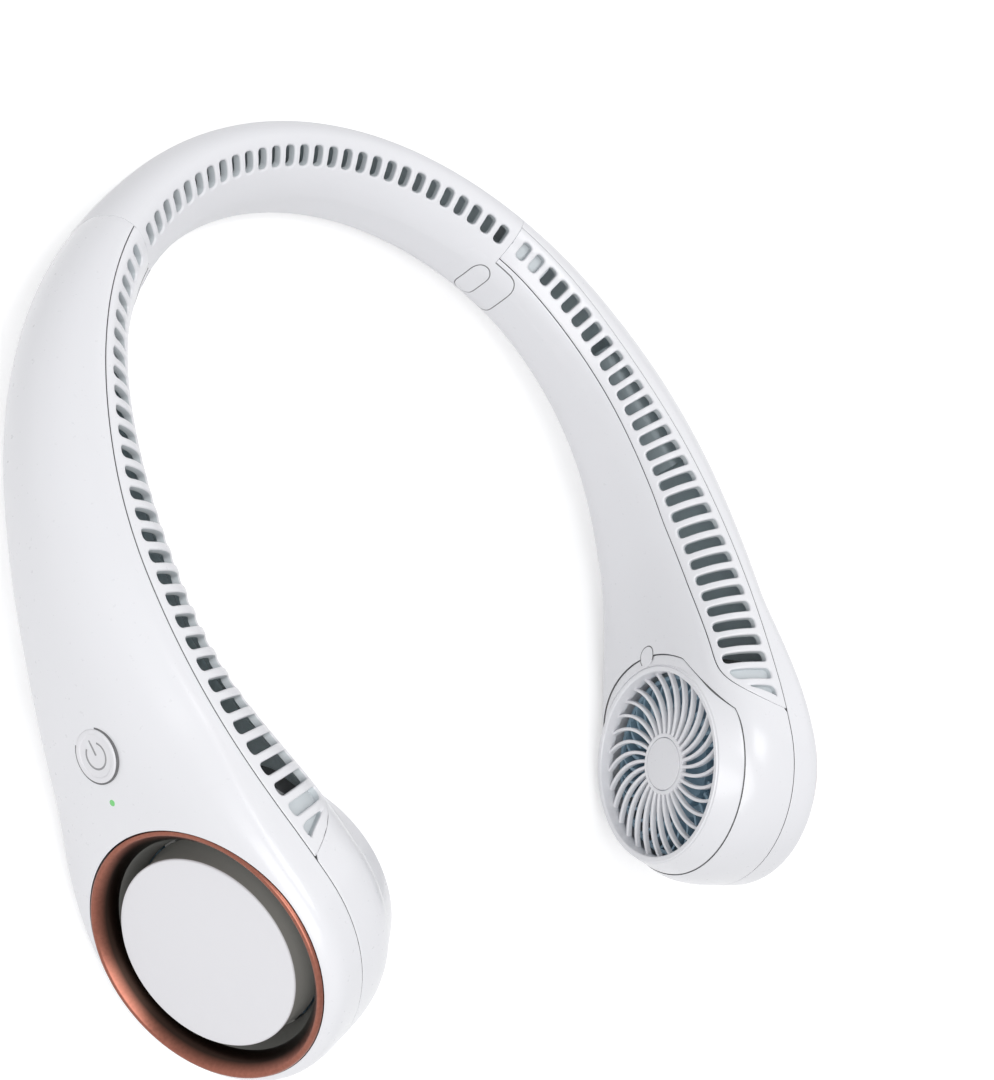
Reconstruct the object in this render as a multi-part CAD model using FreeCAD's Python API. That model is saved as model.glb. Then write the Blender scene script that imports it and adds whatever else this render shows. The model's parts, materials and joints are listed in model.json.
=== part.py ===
import FreeCAD, Part

import math
import os

from FreeCAD import Vector

# Electric neck fan: a soft slotted band behind the neck, two rigid hollow arms with air slots along
# their tops, and a round pod with a fan at the end of each arm. Millimetres, +Z up, front at -Y.
# The right-hand arm (+X) is modelled, and the left-hand one is its mirror image.

# Plan of the seam line between outer and inner shells, from the middle of the back to the pod
BACK_RADIUS = 86.0
BACK_SWEEP = 60.7
SIDE_RADIUS = 118.0
SIDE_SWEEP = 29.3
FRONT_RADIUS = 208.6
FRONT_SWEEP = 17.75
POD_LEAD = 4.5

# Side view: the band swells downwards into the pods, and the pods lean in at the top
BACK_TOP = 1.4
BACK_HEIGHT = 24.8
POD_TOP = 8.7
POD_RADIUS = 29.9
POD_LEAN = 7.6
SWELL_START = 0.25
SWELL_POWER = 2.2
TOP_START = 100.0
TOP_POWER = 1.5
TOP_EASE = 15.0

# Section: half widths outside and inside the seam line, and how square each corner is
BACK_OUTER = 7.0
ARM_OUTER = 12.3
POD_OUTER = 11.2
BACK_INNER = 10.2
ARM_INNER = 15.0
POD_INNER = 20.0
ARM_SEAM_SHIFT = -2.1
OUTER_TOP_SQUARE = 2.3
OUTER_LOW_SQUARE = 2.1
POD_OUTER_SQUARE = 5.5
BACK_INNER_SQUARE = 1.57
ARM_INNER_SQUARE = 2.8
INNER_LOW_SQUARE = 3.5
POD_INNER_SQUARE = 3.6

# Where the section changes: lengths before and after the end of the back's arc, or back from the pod's axis
ARM_BLEND = (45.0, 35.0)
INNER_ARM_BLEND = (30.0, 64.0)
CORNER_BLEND = (11.0, 62.0)
POD_BLEND = (80.0, 12.0)
INNER_POD_BLEND = (61.0, 13.0)
SEAM_FADE = (116.0, 26.0)
POD_SQUARE_BLEND = (40.0, 0.0)
INNER_SQUARE_BLEND = (46.0, 8.0)

# Walls and clearances
SHELL_WALL = 1.8
BAND_WALL = 2.2
SEAT_GAP = 0.15
SLIDE_GAP = 0.3
PRESS_GAP = 0.02
RUN_GAP = 0.03

# Band: slots, where it joins the arms, and the stretch that bends
BAND_SLOTS = 28
BAND_PITCH = 4.68
RIGID_SLOTS = 12
BREAK_STATION = 67.0
TONGUE_LENGTH = 9.6
TONGUE_LOW = -10.4
TONGUE_HIGH = 4.6
TONGUE_CORNER = 3.5
ANCHOR_WALL = 1.4
ANCHOR_BACK = 2.1
ANCHOR_FRONT = 13.0
ANCHOR_TAB = 6.5
PEG_LENGTH = 11.8
PEG_WIDTH = 5.8
PEG_HEIGHT = -3.5
PEG_SETBACK = 1.0
PEG_DEPTH = 4.6
WIRE_RADIUS = 1.3
WIRE_END_STATION = 90.5

# Air slots, and the strip that carries them; shares are of the half width, from the seam inwards
BAND_SLOT_SHARES = (0.256, 0.633)
ARM_SLOTS = 30
ARM_PITCH = 4.8
FIRST_SLOT_STATION = 71.2
SLOT_WIDTH = 2.9
SLOT_CORNER = 1.1
SLOT_OUTER_SHARES = (0.22, 0.10)
STRIP_START_SHARE = 0.785
STRIP_WIDE_SHARE = 0.905
STRIP_END_SHARE = 0.785
STRIP_WIDENS = (70.0, 145.0)
STRIP_NARROWS = (155.0, 200.0)
STRIP_TIP_SETBACK = 5.2
STRIP_TAPER = 20.0
STRIP_TAPER_POWER = 4.0
STRIP_MARGINS = (0.19, 0.065)
BLIND_SLOTS = 2
BLIND_DEPTH = 0.9

# Intake on the pod's outer face
RING_RADIUS = 27.2
RING_MOUTH_RADIUS = 23.5
RING_RISE = 1.1
RING_DEPTH = 3.8
RING_FOOT = 0.2
RING_SHOULDER = 0.3
RING_CREST = 0.6
RING_ROLL = 1.0
FUNNEL_FLANGE = 2.0
FUNNEL_THROAT_RADIUS = 21.4
FUNNEL_STEP = 0.5
SCREW_STOP = 0.4
CAP_RADIUS = 20.35
CAP_THICKNESS = 4.0
CAP_CROWN = 0.5
CAP_FLAT = 2.0
CAP_EDGE = 0.5
CAP_CHAMFER = 0.4
CAP_SINK = 0.4
CAP_BOSS_RADIUS = 3.5

# Motor and impeller, placed along the pod's axis from the seam plane inwards
BRACKET_TOP = 1.0
BRACKET_THICKNESS = 1.6
BRACKET_RING_WIDTH = 3.2
BRACKET_HUB_RADIUS = 10.0
BRACKET_ARM_WIDTH = 3.2
BRACKET_ARMS = 4
SCREW_RADIUS = 0.8
SCREW_HEAD_RADIUS = 1.4
SCREW_HEAD = 0.6
SCREW_LENGTH = 3.0
TUBE_RADIUS = 3.0
TUBE_LENGTH = 8.6
BEARING_RADIUS = 2.0
BEARING_LENGTH = 2.0
BEARING_INSET = 0.2
SHAFT_RADIUS = 1.0
STATOR_RADIUS = 7.2
STATOR_HEIGHT = 5.0
STATOR_TEETH = 6
STATOR_SINK = 1.9
TOOTH_WIDTH = 1.5
TOOTH_TIP = 0.9
TOOTH_ROOT = 0.2
YOKE_THICKNESS = 1.3
COIL_THICKNESS = 0.55
COIL_START_GAP = 0.1
COIL_END_GAP = 0.25
AIR_GAP = 0.4
MAGNET_THICKNESS = 1.0
CAN_WALL = 0.7
CAN_CLEARANCE = 0.6
CAN_BOSS_RADIUS = 2.2
CAN_BOSS_LENGTH = 1.4
IMPELLER_RADIUS = 22.6
IMPELLER_TOP_GAP = 1.0
IMPELLER_HEIGHT = 12.5
IMPELLER_HUB_WALL = 1.0
IMPELLER_DISC = 1.0
IMPELLER_BLADES = 30
BLADE_ROOT_RADIUS = 14.5
BLADE_THICKNESS = 0.8
BLADE_SWEEP = 16.0
BLADE_INSET = 0.1
BAR_MIDDLE_SHARE = 0.28
SHROUD_WIDTH = 1.0
SHROUD_HEIGHT = 0.8

# Pull-off grille cover on the pod's inner face
COVER_RADIUS = 27.4
COVER_SKIRT = 3.2
COVER_WALL = 1.5
COVER_CHORD = 25.6
COVER_CHORD_TURN = 32.0
COVER_BULGE = 0.35
GRILLE_RADIUS = 24.35
GRILLE_RIM = 1.2
LIP_ROUND = 0.5
GRILLE_THICKNESS = 1.4
GRILLE_SPOKES = 30
SPOKE_SINK = 2.6
SPOKE_WIDTH = 1.05
SPOKE_ROOT_WIDTH = 0.85
SPOKE_SWEEP = -22.0
HUB_RADIUS = 7.8
HUB_CAP_RADIUS = 6.6
HUB_CAP_SINK = 0.7
HUB_CAP_RISE = 0.35
HUB_CAP_FLAT = 1.0
TAB_RADIUS = 2.7
TAB_REACH = 29.5
TAB_HEIGHT = 1.9
TAB_ROOT = 1.2

# Power button, light and board in the left-hand arm; charging socket under it
BUTTON_SETBACK = 41.7
BUTTON_HEIGHT = 2.0
BUTTON_RADIUS = 5.5
BUTTON_PROUD = 0.35
BUTTON_FLANGE = 1.0
BUTTON_FLANGE_THICKNESS = 0.8
BUTTON_TRAVEL = 0.5
LIGHT_SETBACK = 32.9
LIGHT_HEIGHT = 0.7
LIGHT_RADIUS = 0.75
BOARD_LENGTH = 27.0
BOARD_WIDTH = 14.0
BOARD_THICKNESS = 1.2
BOARD_SHIFT = -2.6
SWITCH_SIDE = 6.0
SWITCH_BODY = 2.6
SWITCH_STEM_RADIUS = 1.6
SWITCH_STEM = 0.6
SWITCH_CORNER = 0.4
POST_RADIUS = 1.6
SOCKET_SETBACK = 62.0
SOCKET_WIDTH = 8.9
SOCKET_HEIGHT = 3.2
SOCKET_DEPTH = 7.0
SOCKET_WALL = 0.35
SOCKET_OFFSET = 3.2
SOCKET_SINK = 0.8
SOCKET_TONGUE = 0.7
SOCKET_TONGUE_WIDTH = 6.4
SOCKET_TONGUE_SINK = 1.0
SOCKET_TONGUE_CORNER = 0.2

# Battery cell in each arm and the ribs that hold it
CELL_START = 106.0
CELL_LENGTH = 36.0
CELL_HEIGHT = 14.0
CELL_THICKNESS = 6.0
CELL_OFFSET = 1.0
CELL_CORNER = 1.5
RIB_THICKNESS = 1.4
RIB_INSET = 8.0
RIB_LIFT = 2.0

# Bending of the band: the arms swing about this station of the plan line
FLEX_STATION = 45.0

# How finely the sections are set out
QUARTER_POINTS = 8
ARM_SECTIONS = 13
TAPER_SECTIONS = 8
PEG_SECTIONS = 6
TIP_SHARE = 0.03
SEAM_OVER = 1.0
CUT_OVER = 3.0

BACK_LENGTH = BACK_RADIUS * math.radians(BACK_SWEEP)
SIDE_LENGTH = SIDE_RADIUS * math.radians(SIDE_SWEEP)
FRONT_LENGTH = FRONT_RADIUS * math.radians(FRONT_SWEEP)
POD_STATION = BACK_LENGTH + SIDE_LENGTH + FRONT_LENGTH + POD_LEAD
TIP_STATION = POD_STATION - STRIP_TIP_SETBACK
RIGID_STATION = RIGID_SLOTS / 2 * BAND_PITCH
OUTER, INNER = 1, -1


def smooth(t):
    """Eases from 0 to 1 with level ends."""
    t = min(max(t, 0.0), 1.0)
    return t * t * (3 - 2 * t)


def ramp(s, start, end):
    """Eased share of the way from station start to station end."""
    return smooth((s - start) / (end - start))


def near_break(s, blend):
    """Eased share of the way through a blend before and after the end of the back's arc."""
    return ramp(s, BACK_LENGTH - blend[0], BACK_LENGTH + blend[1])


def near_pod(s, blend):
    """Eased share of the way through a blend that is measured back from the pod's axis."""
    return ramp(s, POD_STATION - blend[0], POD_STATION - blend[1])


def levelled(t, ease):
    """Even rise from 0 to 1 that levels off over its last part."""
    t = min(max(t, 0.0), 1.0)
    late = max(t - 1 + ease, 0.0)
    return (t - late * late / (2 * ease)) / (1 - ease / 2)


def mix(a, b, t):
    """Value a share t of the way from a to b."""
    return a + (b - a) * t


def plan(s):
    """Plan point and heading at arc length s: three tangent arcs and a short straight."""
    turn_one = math.radians(BACK_SWEEP)
    turn_two = turn_one + math.radians(SIDE_SWEEP)
    turn_three = turn_two + math.radians(FRONT_SWEEP)
    a = min(s, BACK_LENGTH) / BACK_RADIUS
    b = turn_one + min(max(s - BACK_LENGTH, 0), SIDE_LENGTH) / SIDE_RADIUS
    c = turn_two + min(max(s - BACK_LENGTH - SIDE_LENGTH, 0), FRONT_LENGTH) / FRONT_RADIUS
    straight = max(s - BACK_LENGTH - SIDE_LENGTH - FRONT_LENGTH, 0)
    x = BACK_RADIUS * math.sin(a)
    y = -BACK_RADIUS * (1 - math.cos(a))
    for radius, begin, now in ((SIDE_RADIUS, turn_one, b), (FRONT_RADIUS, turn_two, c)):
        x += radius * (math.sin(now) - math.sin(begin))
        y -= radius * (math.cos(begin) - math.cos(now))
    x += straight * math.cos(turn_three)
    y -= straight * math.sin(turn_three)
    return x, y, a + b - turn_one + c - turn_two


def sizes(s):
    """Half height, middle height, half widths, seam shift and corner squareness at station s."""
    s = min(abs(s), POD_STATION)
    swell = smooth((s / POD_STATION - SWELL_START) / (1 - SWELL_START)) ** SWELL_POWER
    climb = POD_STATION - TOP_START
    rise = levelled((s - TOP_START) / climb, TOP_EASE / climb) ** TOP_POWER
    top = mix(BACK_TOP, POD_TOP, rise)
    bottom = mix(BACK_TOP - BACK_HEIGHT, POD_TOP - 2 * POD_RADIUS, swell)
    arm = near_break(s, ARM_BLEND)
    inner_arm = near_break(s, INNER_ARM_BLEND)
    square = near_pod(s, POD_SQUARE_BLEND)
    inner_square = near_pod(s, INNER_SQUARE_BLEND)
    inner_corner = mix(BACK_INNER_SQUARE, ARM_INNER_SQUARE, near_break(s, CORNER_BLEND))
    return {
        "half": (top - bottom) / 2,
        "middle": (top + bottom) / 2,
        OUTER: mix(mix(BACK_OUTER, ARM_OUTER, arm), POD_OUTER, near_pod(s, POD_BLEND)),
        INNER: mix(mix(BACK_INNER, ARM_INNER, inner_arm), POD_INNER, near_pod(s, INNER_POD_BLEND)),
        "shift": ARM_SEAM_SHIFT * arm * (1 - near_pod(s, SEAM_FADE)),
        (OUTER, 1): mix(OUTER_TOP_SQUARE, POD_OUTER_SQUARE, square),
        (OUTER, -1): mix(OUTER_LOW_SQUARE, POD_OUTER_SQUARE, square),
        (INNER, 1): mix(inner_corner, POD_INNER_SQUARE, inner_square),
        (INNER, -1): mix(INNER_LOW_SQUARE, POD_INNER_SQUARE, inner_square),
    }


def half_width(s, side):
    """Width of one half of the section, from the shifted seam line."""
    size = sizes(s)
    return size[side] - side * size["shift"]


def frame_at(s):
    """Origin on the seam line's middle, and the along, outward and up directions at station s."""
    size = sizes(s)
    x, y, heading = plan(s)
    along = Vector(math.cos(heading), -math.sin(heading), 0)
    level = Vector(math.sin(heading), math.cos(heading), 0)
    lean = math.radians(POD_LEAN) * ramp(s, BACK_LENGTH, POD_STATION)
    up = Vector(0, 0, math.cos(lean)) - level * math.sin(lean)
    outward = level * math.cos(lean) + Vector(0, 0, math.sin(lean))
    return Vector(x, y, size["middle"]) + outward * size["shift"], along, outward, up


def at(frame, out, high, forward=0.0):
    """Point of a station's frame, from its offsets."""
    origin, along, outward, up = frame
    return origin + outward * out + up * high + along * forward


def corner_edge(s, side, upper, inset, from_seam):
    """Quarter of the section: a superellipse between the seam line and the widest point."""
    frame = frame_at(s)
    size = sizes(s)
    power = size[(side, upper)]
    wide = half_width(s, side) - inset
    high = size["half"] - inset
    points = []
    for k in range(QUARTER_POINTS + 1):
        a = math.pi / 2 * k / QUARTER_POINTS
        reach = (math.cos(a) ** power + math.sin(a) ** power) ** (-1 / power)
        points.append(at(frame, side * wide * reach * math.cos(a), upper * high * reach * math.sin(a)))
    start, end = frame[3] * upper, frame[2] * -side
    if from_seam:
        points.reverse()
        start, end = end * -1, start * -1
    start = start * (points[1].distanceToPoint(points[0]) * QUARTER_POINTS)
    end = end * (points[-1].distanceToPoint(points[-2]) * QUARTER_POINTS)
    share = [k / QUARTER_POINTS for k in range(QUARTER_POINTS + 1)]
    curve = Part.BSplineCurve()
    curve.interpolate(Points=points, Parameters=share, InitialTangent=start, FinalTangent=end, Scale=False)
    return curve.toShape()


def line(a, b):
    """Straight edge between two points."""
    return Part.LineSegment(a, b).toShape()


def half_wire(s, side, inset=0.0, over=0.0):
    """Closed half section; with over, it reaches past the seam line by that much."""
    frame = frame_at(s)
    high = sizes(s)["half"] - inset
    edges = [corner_edge(s, side, -1, inset, True), corner_edge(s, side, 1, inset, False)]
    corners = [at(frame, 0, high)]
    if over:
        corners += [at(frame, -side * over, high), at(frame, -side * over, -high)]
    corners.append(at(frame, 0, -high))
    edges += [line(a, b) for a, b in zip(corners, corners[1:])]
    return Part.Wire(edges)


def full_wire(s, inset=0.0):
    """Closed whole section."""
    order = ((OUTER, -1, True), (OUTER, 1, False), (INNER, 1, True), (INNER, -1, False))
    return Part.Wire([corner_edge(s, side, upper, inset, seam) for side, upper, seam in order])


def spread(start, end, count):
    """Evenly spaced stations, both ends included."""
    return [mix(start, end, k / (count - 1)) for k in range(count)]


def loft(wires):
    """Smooth solid through closed wires."""
    return Part.makeLoft(wires, True, False)


def half_solid(side, start, inset=0.0, over=0.0):
    """One half of an arm with its pod: a loft along the arm, and half a turn of its last section."""
    arm = loft([half_wire(s, side, inset, over) for s in spread(start, POD_STATION, ARM_SECTIONS)])
    frame = frame_at(POD_STATION)
    high = sizes(POD_STATION)["half"] - inset
    rim = corner_edge(POD_STATION, side, 1, inset, False)
    tip = at(frame, side * (half_width(POD_STATION, side) - inset), 0)
    corners = [at(frame, 0, high)]
    if over:
        corners.append(at(frame, -side * over, high))
    corners += [at(frame, -side * over, 0), tip]
    edges = [rim] + [line(a, b) for a, b in zip(corners, corners[1:])]
    pod_half = Part.Face(Part.Wire(edges)).revolve(frame[0], frame[2], 180)
    return arm.fuse(pod_half)


def whole_solid(start, end, inset, count):
    """Loft of whole sections between two stations."""
    return loft([full_wire(s, inset) for s in spread(start, end, count)])


def strip_place(s, share):
    """Offsets of a point on the inner top corner, a share of the half width from the seam."""
    power = sizes(s)[(INNER, 1)]
    return -share * half_width(s, INNER), sizes(s)["half"] * (1 - share ** power) ** (1 / power)


def strip_edge_share(s):
    """Share of the half width where the strip's inner seam runs; it closes to a point at the tip."""
    left = min(max((TIP_STATION - s) / STRIP_TAPER, 0), 1)
    share = mix(STRIP_START_SHARE, STRIP_WIDE_SHARE, ramp(s, *STRIP_WIDENS))
    share += (STRIP_END_SHARE - STRIP_WIDE_SHARE) * ramp(s, *STRIP_NARROWS)
    return share * (1 - (1 - left) ** STRIP_TAPER_POWER)


def arm_slot_shares(s):
    """Outer and inner ends of an arm's slot, which keep clear of both edges of the strip."""
    outer = mix(*SLOT_OUTER_SHARES, (s - FIRST_SLOT_STATION) / (TIP_STATION - FIRST_SLOT_STATION))
    margin = mix(*STRIP_MARGINS, ramp(s, *STRIP_WIDENS))
    return outer, strip_edge_share(s + SLOT_WIDTH / 2) - margin


def rounded_prism(centre, length_dir, width_dir, length, width, corner, push):
    """Rounded rectangle about a centre, pushed along a vector."""
    a, b = length / 2, width / 2
    corner = min(corner, a * 0.99, b * 0.99)
    diagonal = corner * (1 - math.sqrt(0.5))

    def spot(x, y):
        return centre + length_dir * x + width_dir * y

    edges = []
    for sx, sy, first_long in ((1, -1, True), (1, 1, False), (-1, 1, True), (-1, -1, False)):
        along_side = spot(sx * (a - corner), sy * b)
        across_side = spot(sx * a, sy * (b - corner))
        middle = spot(sx * (a - diagonal), sy * (b - diagonal))
        ends = (along_side, across_side) if first_long else (across_side, along_side)
        edges.append(Part.Arc(ends[0], middle, ends[1]).toShape())
    joined = []
    for k, edge in enumerate(edges):
        joined.append(edge)
        joined.append(line(edge.Vertexes[-1].Point, edges[(k + 1) % 4].Vertexes[0].Point))
    return Part.Face(Part.Wire(joined)).extrude(push)


def slot_cutter(s, outer_share, inner_share, depth):
    """Cutter for one air slot across the inner top corner, to a depth under its chord."""
    frame = frame_at(s)
    a = at(frame, *strip_place(s, outer_share))
    b = at(frame, *strip_place(s, inner_share))
    across = b - a
    length = across.Length
    across.normalize()
    normal = across.cross(frame[1])
    if normal.dot(frame[3]) < 0:
        normal = normal * -1
    centre = (a + b) * 0.5 - normal * depth
    push = normal * (depth + CUT_OVER)
    return rounded_prism(centre, across, frame[1], length, SLOT_WIDTH, SLOT_CORNER, push)


def slot_rise(s, outer_share, inner_share):
    """How far the surface stands over a slot's chord, at its middle."""
    frame = frame_at(s)
    a = at(frame, *strip_place(s, outer_share))
    b = at(frame, *strip_place(s, inner_share))
    m = at(frame, *strip_place(s, (outer_share + inner_share) / 2))
    return m.distanceToPoint((a + b) * 0.5)


def band_cutters(first, last):
    """Cutters of the band's slots whose stations lie between two stations."""
    stations = [(k + 0.5 - BAND_SLOTS / 2) * BAND_PITCH for k in range(BAND_SLOTS)]
    deep = BAND_WALL + CUT_OVER
    cutters = [slot_cutter(s, *BAND_SLOT_SHARES, deep) for s in stations if first < s < last]
    return Part.makeCompound(cutters)


def arm_cutters():
    """Cutters of an arm's slots; the last ones shorten with the strip and are blind."""
    cutters = []
    for k in range(ARM_SLOTS):
        s = FIRST_SLOT_STATION + k * ARM_PITCH
        outer, inner = arm_slot_shares(s)
        depth = SHELL_WALL + CUT_OVER
        if k >= ARM_SLOTS - BLIND_SLOTS:
            depth = BLIND_DEPTH - slot_rise(s, outer, inner)
        cutters.append(slot_cutter(s, outer, inner, depth))
    return Part.makeCompound(cutters)


def strip_tool():
    """Solid that holds the wall between the outer seam and the strip's inner seam."""
    wires = []
    stations = spread(BREAK_STATION - CUT_OVER, TIP_STATION - STRIP_TAPER, ARM_SECTIONS)
    stations += spread(TIP_STATION - STRIP_TAPER, TIP_STATION, TAPER_SECTIONS)[1:-1]
    stations.append(TIP_STATION - TIP_SHARE * STRIP_TAPER)
    deep = SHELL_WALL + CUT_OVER
    for s in stations:
        frame = frame_at(s)
        size = sizes(s)
        share = strip_edge_share(s)
        out, high = strip_place(s, share)
        power = size[(INNER, 1)]
        slope = Vector(-share ** (power - 1) / half_width(s, INNER),
                       (high / size["half"]) ** (power - 1) / size["half"], 0).normalize()
        corners = [(SEAM_OVER, size["half"] + 2 * CUT_OVER), (SEAM_OVER, size["half"] - deep),
                   (out - slope.x * deep, high - slope.y * deep),
                   (out + slope.x * 2 * CUT_OVER, high + slope.y * 2 * CUT_OVER)]
        points = [at(frame, *c) for c in corners]
        wires.append(Part.makePolygon(points + points[:1]))
    return loft(wires)


POD_FRAME = frame_at(POD_STATION)
POD_PLACE = FreeCAD.Placement(FreeCAD.Matrix(
    POD_FRAME[3].x, POD_FRAME[1].x, POD_FRAME[2].x, POD_FRAME[0].x,
    POD_FRAME[3].y, POD_FRAME[1].y, POD_FRAME[2].y, POD_FRAME[0].y,
    POD_FRAME[3].z, POD_FRAME[1].z, POD_FRAME[2].z, POD_FRAME[0].z, 0, 0, 0, 1))
AXIS = Vector(0, 0, 1)


def in_pod(shape):
    """Moves a shape drawn about +Z (X up, Y forward) onto the pod's axis."""
    placed = shape.copy()
    placed.Placement = POD_PLACE.multiply(placed.Placement)
    return placed


def turned(profile):
    """Solid of revolution about Z from (radius, height) corners; a middle point marks an arc."""
    edges = []
    spots = [(Vector(p[0], 0, p[1]), Vector(p[2], 0, p[3]) if len(p) > 2 else None) for p in profile]
    for (a, through), (b, _) in zip(spots, spots[1:] + spots[:1]):
        edges.append(Part.Arc(a, through, b).toShape() if through else line(a, b))
    return Part.Face(Part.Wire(edges)).revolve(Vector(), AXIS, 360)


def disc(radius, low, high, hole=0.0):
    """Round plate or ring between two heights."""
    body = Part.makeCylinder(radius, high - low, Vector(0, 0, low))
    if hole:
        body = body.cut(Part.makeCylinder(hole, high - low + 2, Vector(0, 0, low - 1)))
    return body


def round_about(shape, count, first=0.0):
    """Copies of a shape turned evenly about Z."""
    copies = []
    for k in range(count):
        copy = shape.copy()
        copy.rotate(Vector(), AXIS, first + 360.0 * k / count)
        copies.append(copy)
    return copies


def swept_bar(inner_radius, outer_radius, inner_width, outer_width, sweep, low, high):
    """Bar that curves as it runs out from the axis: two arcs joined by short ends."""
    middle_radius = (inner_radius + outer_radius) / 2
    middle_width = (inner_width + outer_width) / 2

    def side(sign):
        points = []
        rows = ((inner_radius, inner_width, 0.0), (middle_radius, middle_width, BAR_MIDDLE_SHARE),
                (outer_radius, outer_width, 1.0))
        for radius, width, share in rows:
            turn = math.radians(sweep * share) + sign * width / 2 / radius
            points.append(Vector(radius * math.cos(turn), radius * math.sin(turn), low))
        return points

    left, right = side(1), side(-1)
    edges = [Part.Arc(*left).toShape(), line(left[2], right[2]),
             Part.Arc(right[2], right[1], right[0]).toShape(), line(right[0], left[0])]
    return Part.Face(Part.Wire(edges)).extrude(Vector(0, 0, high - low))


def one(shape):
    """The single solid of a boolean result."""
    solids = sorted(shape.Solids, key=lambda solid: solid.Volume)
    return solids[-1]


# Levels along the pod's axis, from the outer face inwards
CAVITY_RADIUS = POD_RADIUS - SHELL_WALL
RING_SHARE = (1 - (RING_RADIUS / POD_RADIUS) ** POD_OUTER_SQUARE) ** (1 / POD_OUTER_SQUARE)
RING_LEVEL = POD_OUTER * RING_SHARE
RING_SEAT = RING_LEVEL - RING_DEPTH
BRACKET_LOW = BRACKET_TOP - BRACKET_THICKNESS
TUBE_END = BRACKET_LOW - TUBE_LENGTH
STATOR_TOP = BRACKET_LOW - STATOR_SINK
STATOR_END = STATOR_TOP - STATOR_HEIGHT
MAGNET_BORE = STATOR_RADIUS + AIR_GAP
CAN_RADIUS = MAGNET_BORE + MAGNET_THICKNESS + PRESS_GAP + CAN_WALL
CAN_PLATE_TOP = TUBE_END - CAN_CLEARANCE
CAN_PLATE_LOW = CAN_PLATE_TOP - CAN_WALL
SHAFT_END = CAN_PLATE_LOW - CAN_BOSS_LENGTH
IMPELLER_TOP = BRACKET_LOW - IMPELLER_TOP_GAP
IMPELLER_LOW = IMPELLER_TOP - IMPELLER_HEIGHT
COVER_SHARE = (1 - (COVER_RADIUS / POD_RADIUS) ** POD_INNER_SQUARE) ** (1 / POD_INNER_SQUARE)
COVER_SEAM = -POD_INNER * COVER_SHARE
COVER_END = COVER_SEAM + COVER_SKIRT
GRILLE_FACE = -POD_INNER
SPOKE_FACE = GRILLE_FACE + SPOKE_SINK
SPOKE_BACK = SPOKE_FACE + GRILLE_THICKNESS
SCREW_CIRCLE = CAVITY_RADIUS - SLIDE_GAP - BRACKET_RING_WIDTH / 2


def intake_ring():
    """Bell-mouthed trim ring: a rounded lip that rolls inwards to the throat."""
    seat = RING_RADIUS - SEAT_GAP
    lip = (seat + RING_MOUTH_RADIUS) / 2
    inner_foot = RING_MOUTH_RADIUS - RING_FOOT
    return turned([
        (seat, RING_SEAT), (seat, RING_LEVEL, seat - RING_SHOULDER, RING_LEVEL + 0.8 * RING_RISE),
        (lip + RING_CREST, RING_LEVEL + RING_RISE, lip - RING_ROLL, RING_LEVEL),
        (inner_foot, RING_SEAT)])


def intake_funnel():
    """Tapered throat under the ring, with the flange that closes against the shell."""
    flange = CAVITY_RADIUS - SLIDE_GAP
    mouth = RING_MOUTH_RADIUS - RING_FOOT
    collar = RING_RADIUS - SEAT_GAP - FUNNEL_STEP
    low, high = BRACKET_TOP, BRACKET_TOP + FUNNEL_FLANGE
    body = turned([(FUNNEL_THROAT_RADIUS, low), (flange, low), (flange, high),
                   (collar, high), (collar, RING_SEAT), (mouth, RING_SEAT)])
    hole = Part.makeCylinder(SCREW_RADIUS + PRESS_GAP, FUNNEL_FLANGE - SCREW_STOP,
                             Vector(SCREW_CIRCLE, 0, low))
    return one(body.cut(Part.makeCompound(round_about(hole, BRACKET_ARMS, 45))))


def intake_cap():
    """White disc in the middle of the intake, on a boss that stands on the motor bracket."""
    face = RING_LEVEL - CAP_SINK
    under = face - CAP_THICKNESS
    return turned([(0, BRACKET_TOP), (CAP_BOSS_RADIUS, BRACKET_TOP), (CAP_BOSS_RADIUS, under),
                   (CAP_RADIUS - CAP_CHAMFER, under), (CAP_RADIUS, under + CAP_CHAMFER),
                   (CAP_RADIUS, face - CAP_EDGE, CAP_RADIUS - CAP_EDGE / 4, face - CAP_EDGE / 4),
                   (CAP_RADIUS - CAP_EDGE, face, CAP_RADIUS * 0.55, face + CAP_CROWN * 0.7),
                   (CAP_FLAT, face + CAP_CROWN), (0, face + CAP_CROWN)])


def motor_bracket():
    """Spider under the funnel: ring, arms, hub and the bearing tube in one moulding."""
    rim = CAVITY_RADIUS - SLIDE_GAP
    ring = disc(rim, BRACKET_LOW, BRACKET_TOP, rim - BRACKET_RING_WIDTH)
    hub = disc(BRACKET_HUB_RADIUS, BRACKET_LOW, BRACKET_TOP)
    arm_length = rim - BRACKET_RING_WIDTH / 2
    arm = Part.makeBox(arm_length, BRACKET_ARM_WIDTH, BRACKET_THICKNESS,
                       Vector(0, -BRACKET_ARM_WIDTH / 2, BRACKET_LOW))
    tube = disc(TUBE_RADIUS, TUBE_END, BRACKET_TOP)
    body = ring.multiFuse([hub, tube] + round_about(arm, BRACKET_ARMS))
    bore_top = BRACKET_TOP - 0.5 * BRACKET_THICKNESS
    bore = disc(BEARING_RADIUS + PRESS_GAP, TUBE_END - 1, bore_top)
    hole = Part.makeCylinder(SCREW_RADIUS + PRESS_GAP, 3 * BRACKET_THICKNESS,
                             Vector(SCREW_CIRCLE, 0, BRACKET_LOW - BRACKET_THICKNESS))
    return one(body.cut(Part.makeCompound([bore] + round_about(hole, BRACKET_ARMS, 45))))


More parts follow.
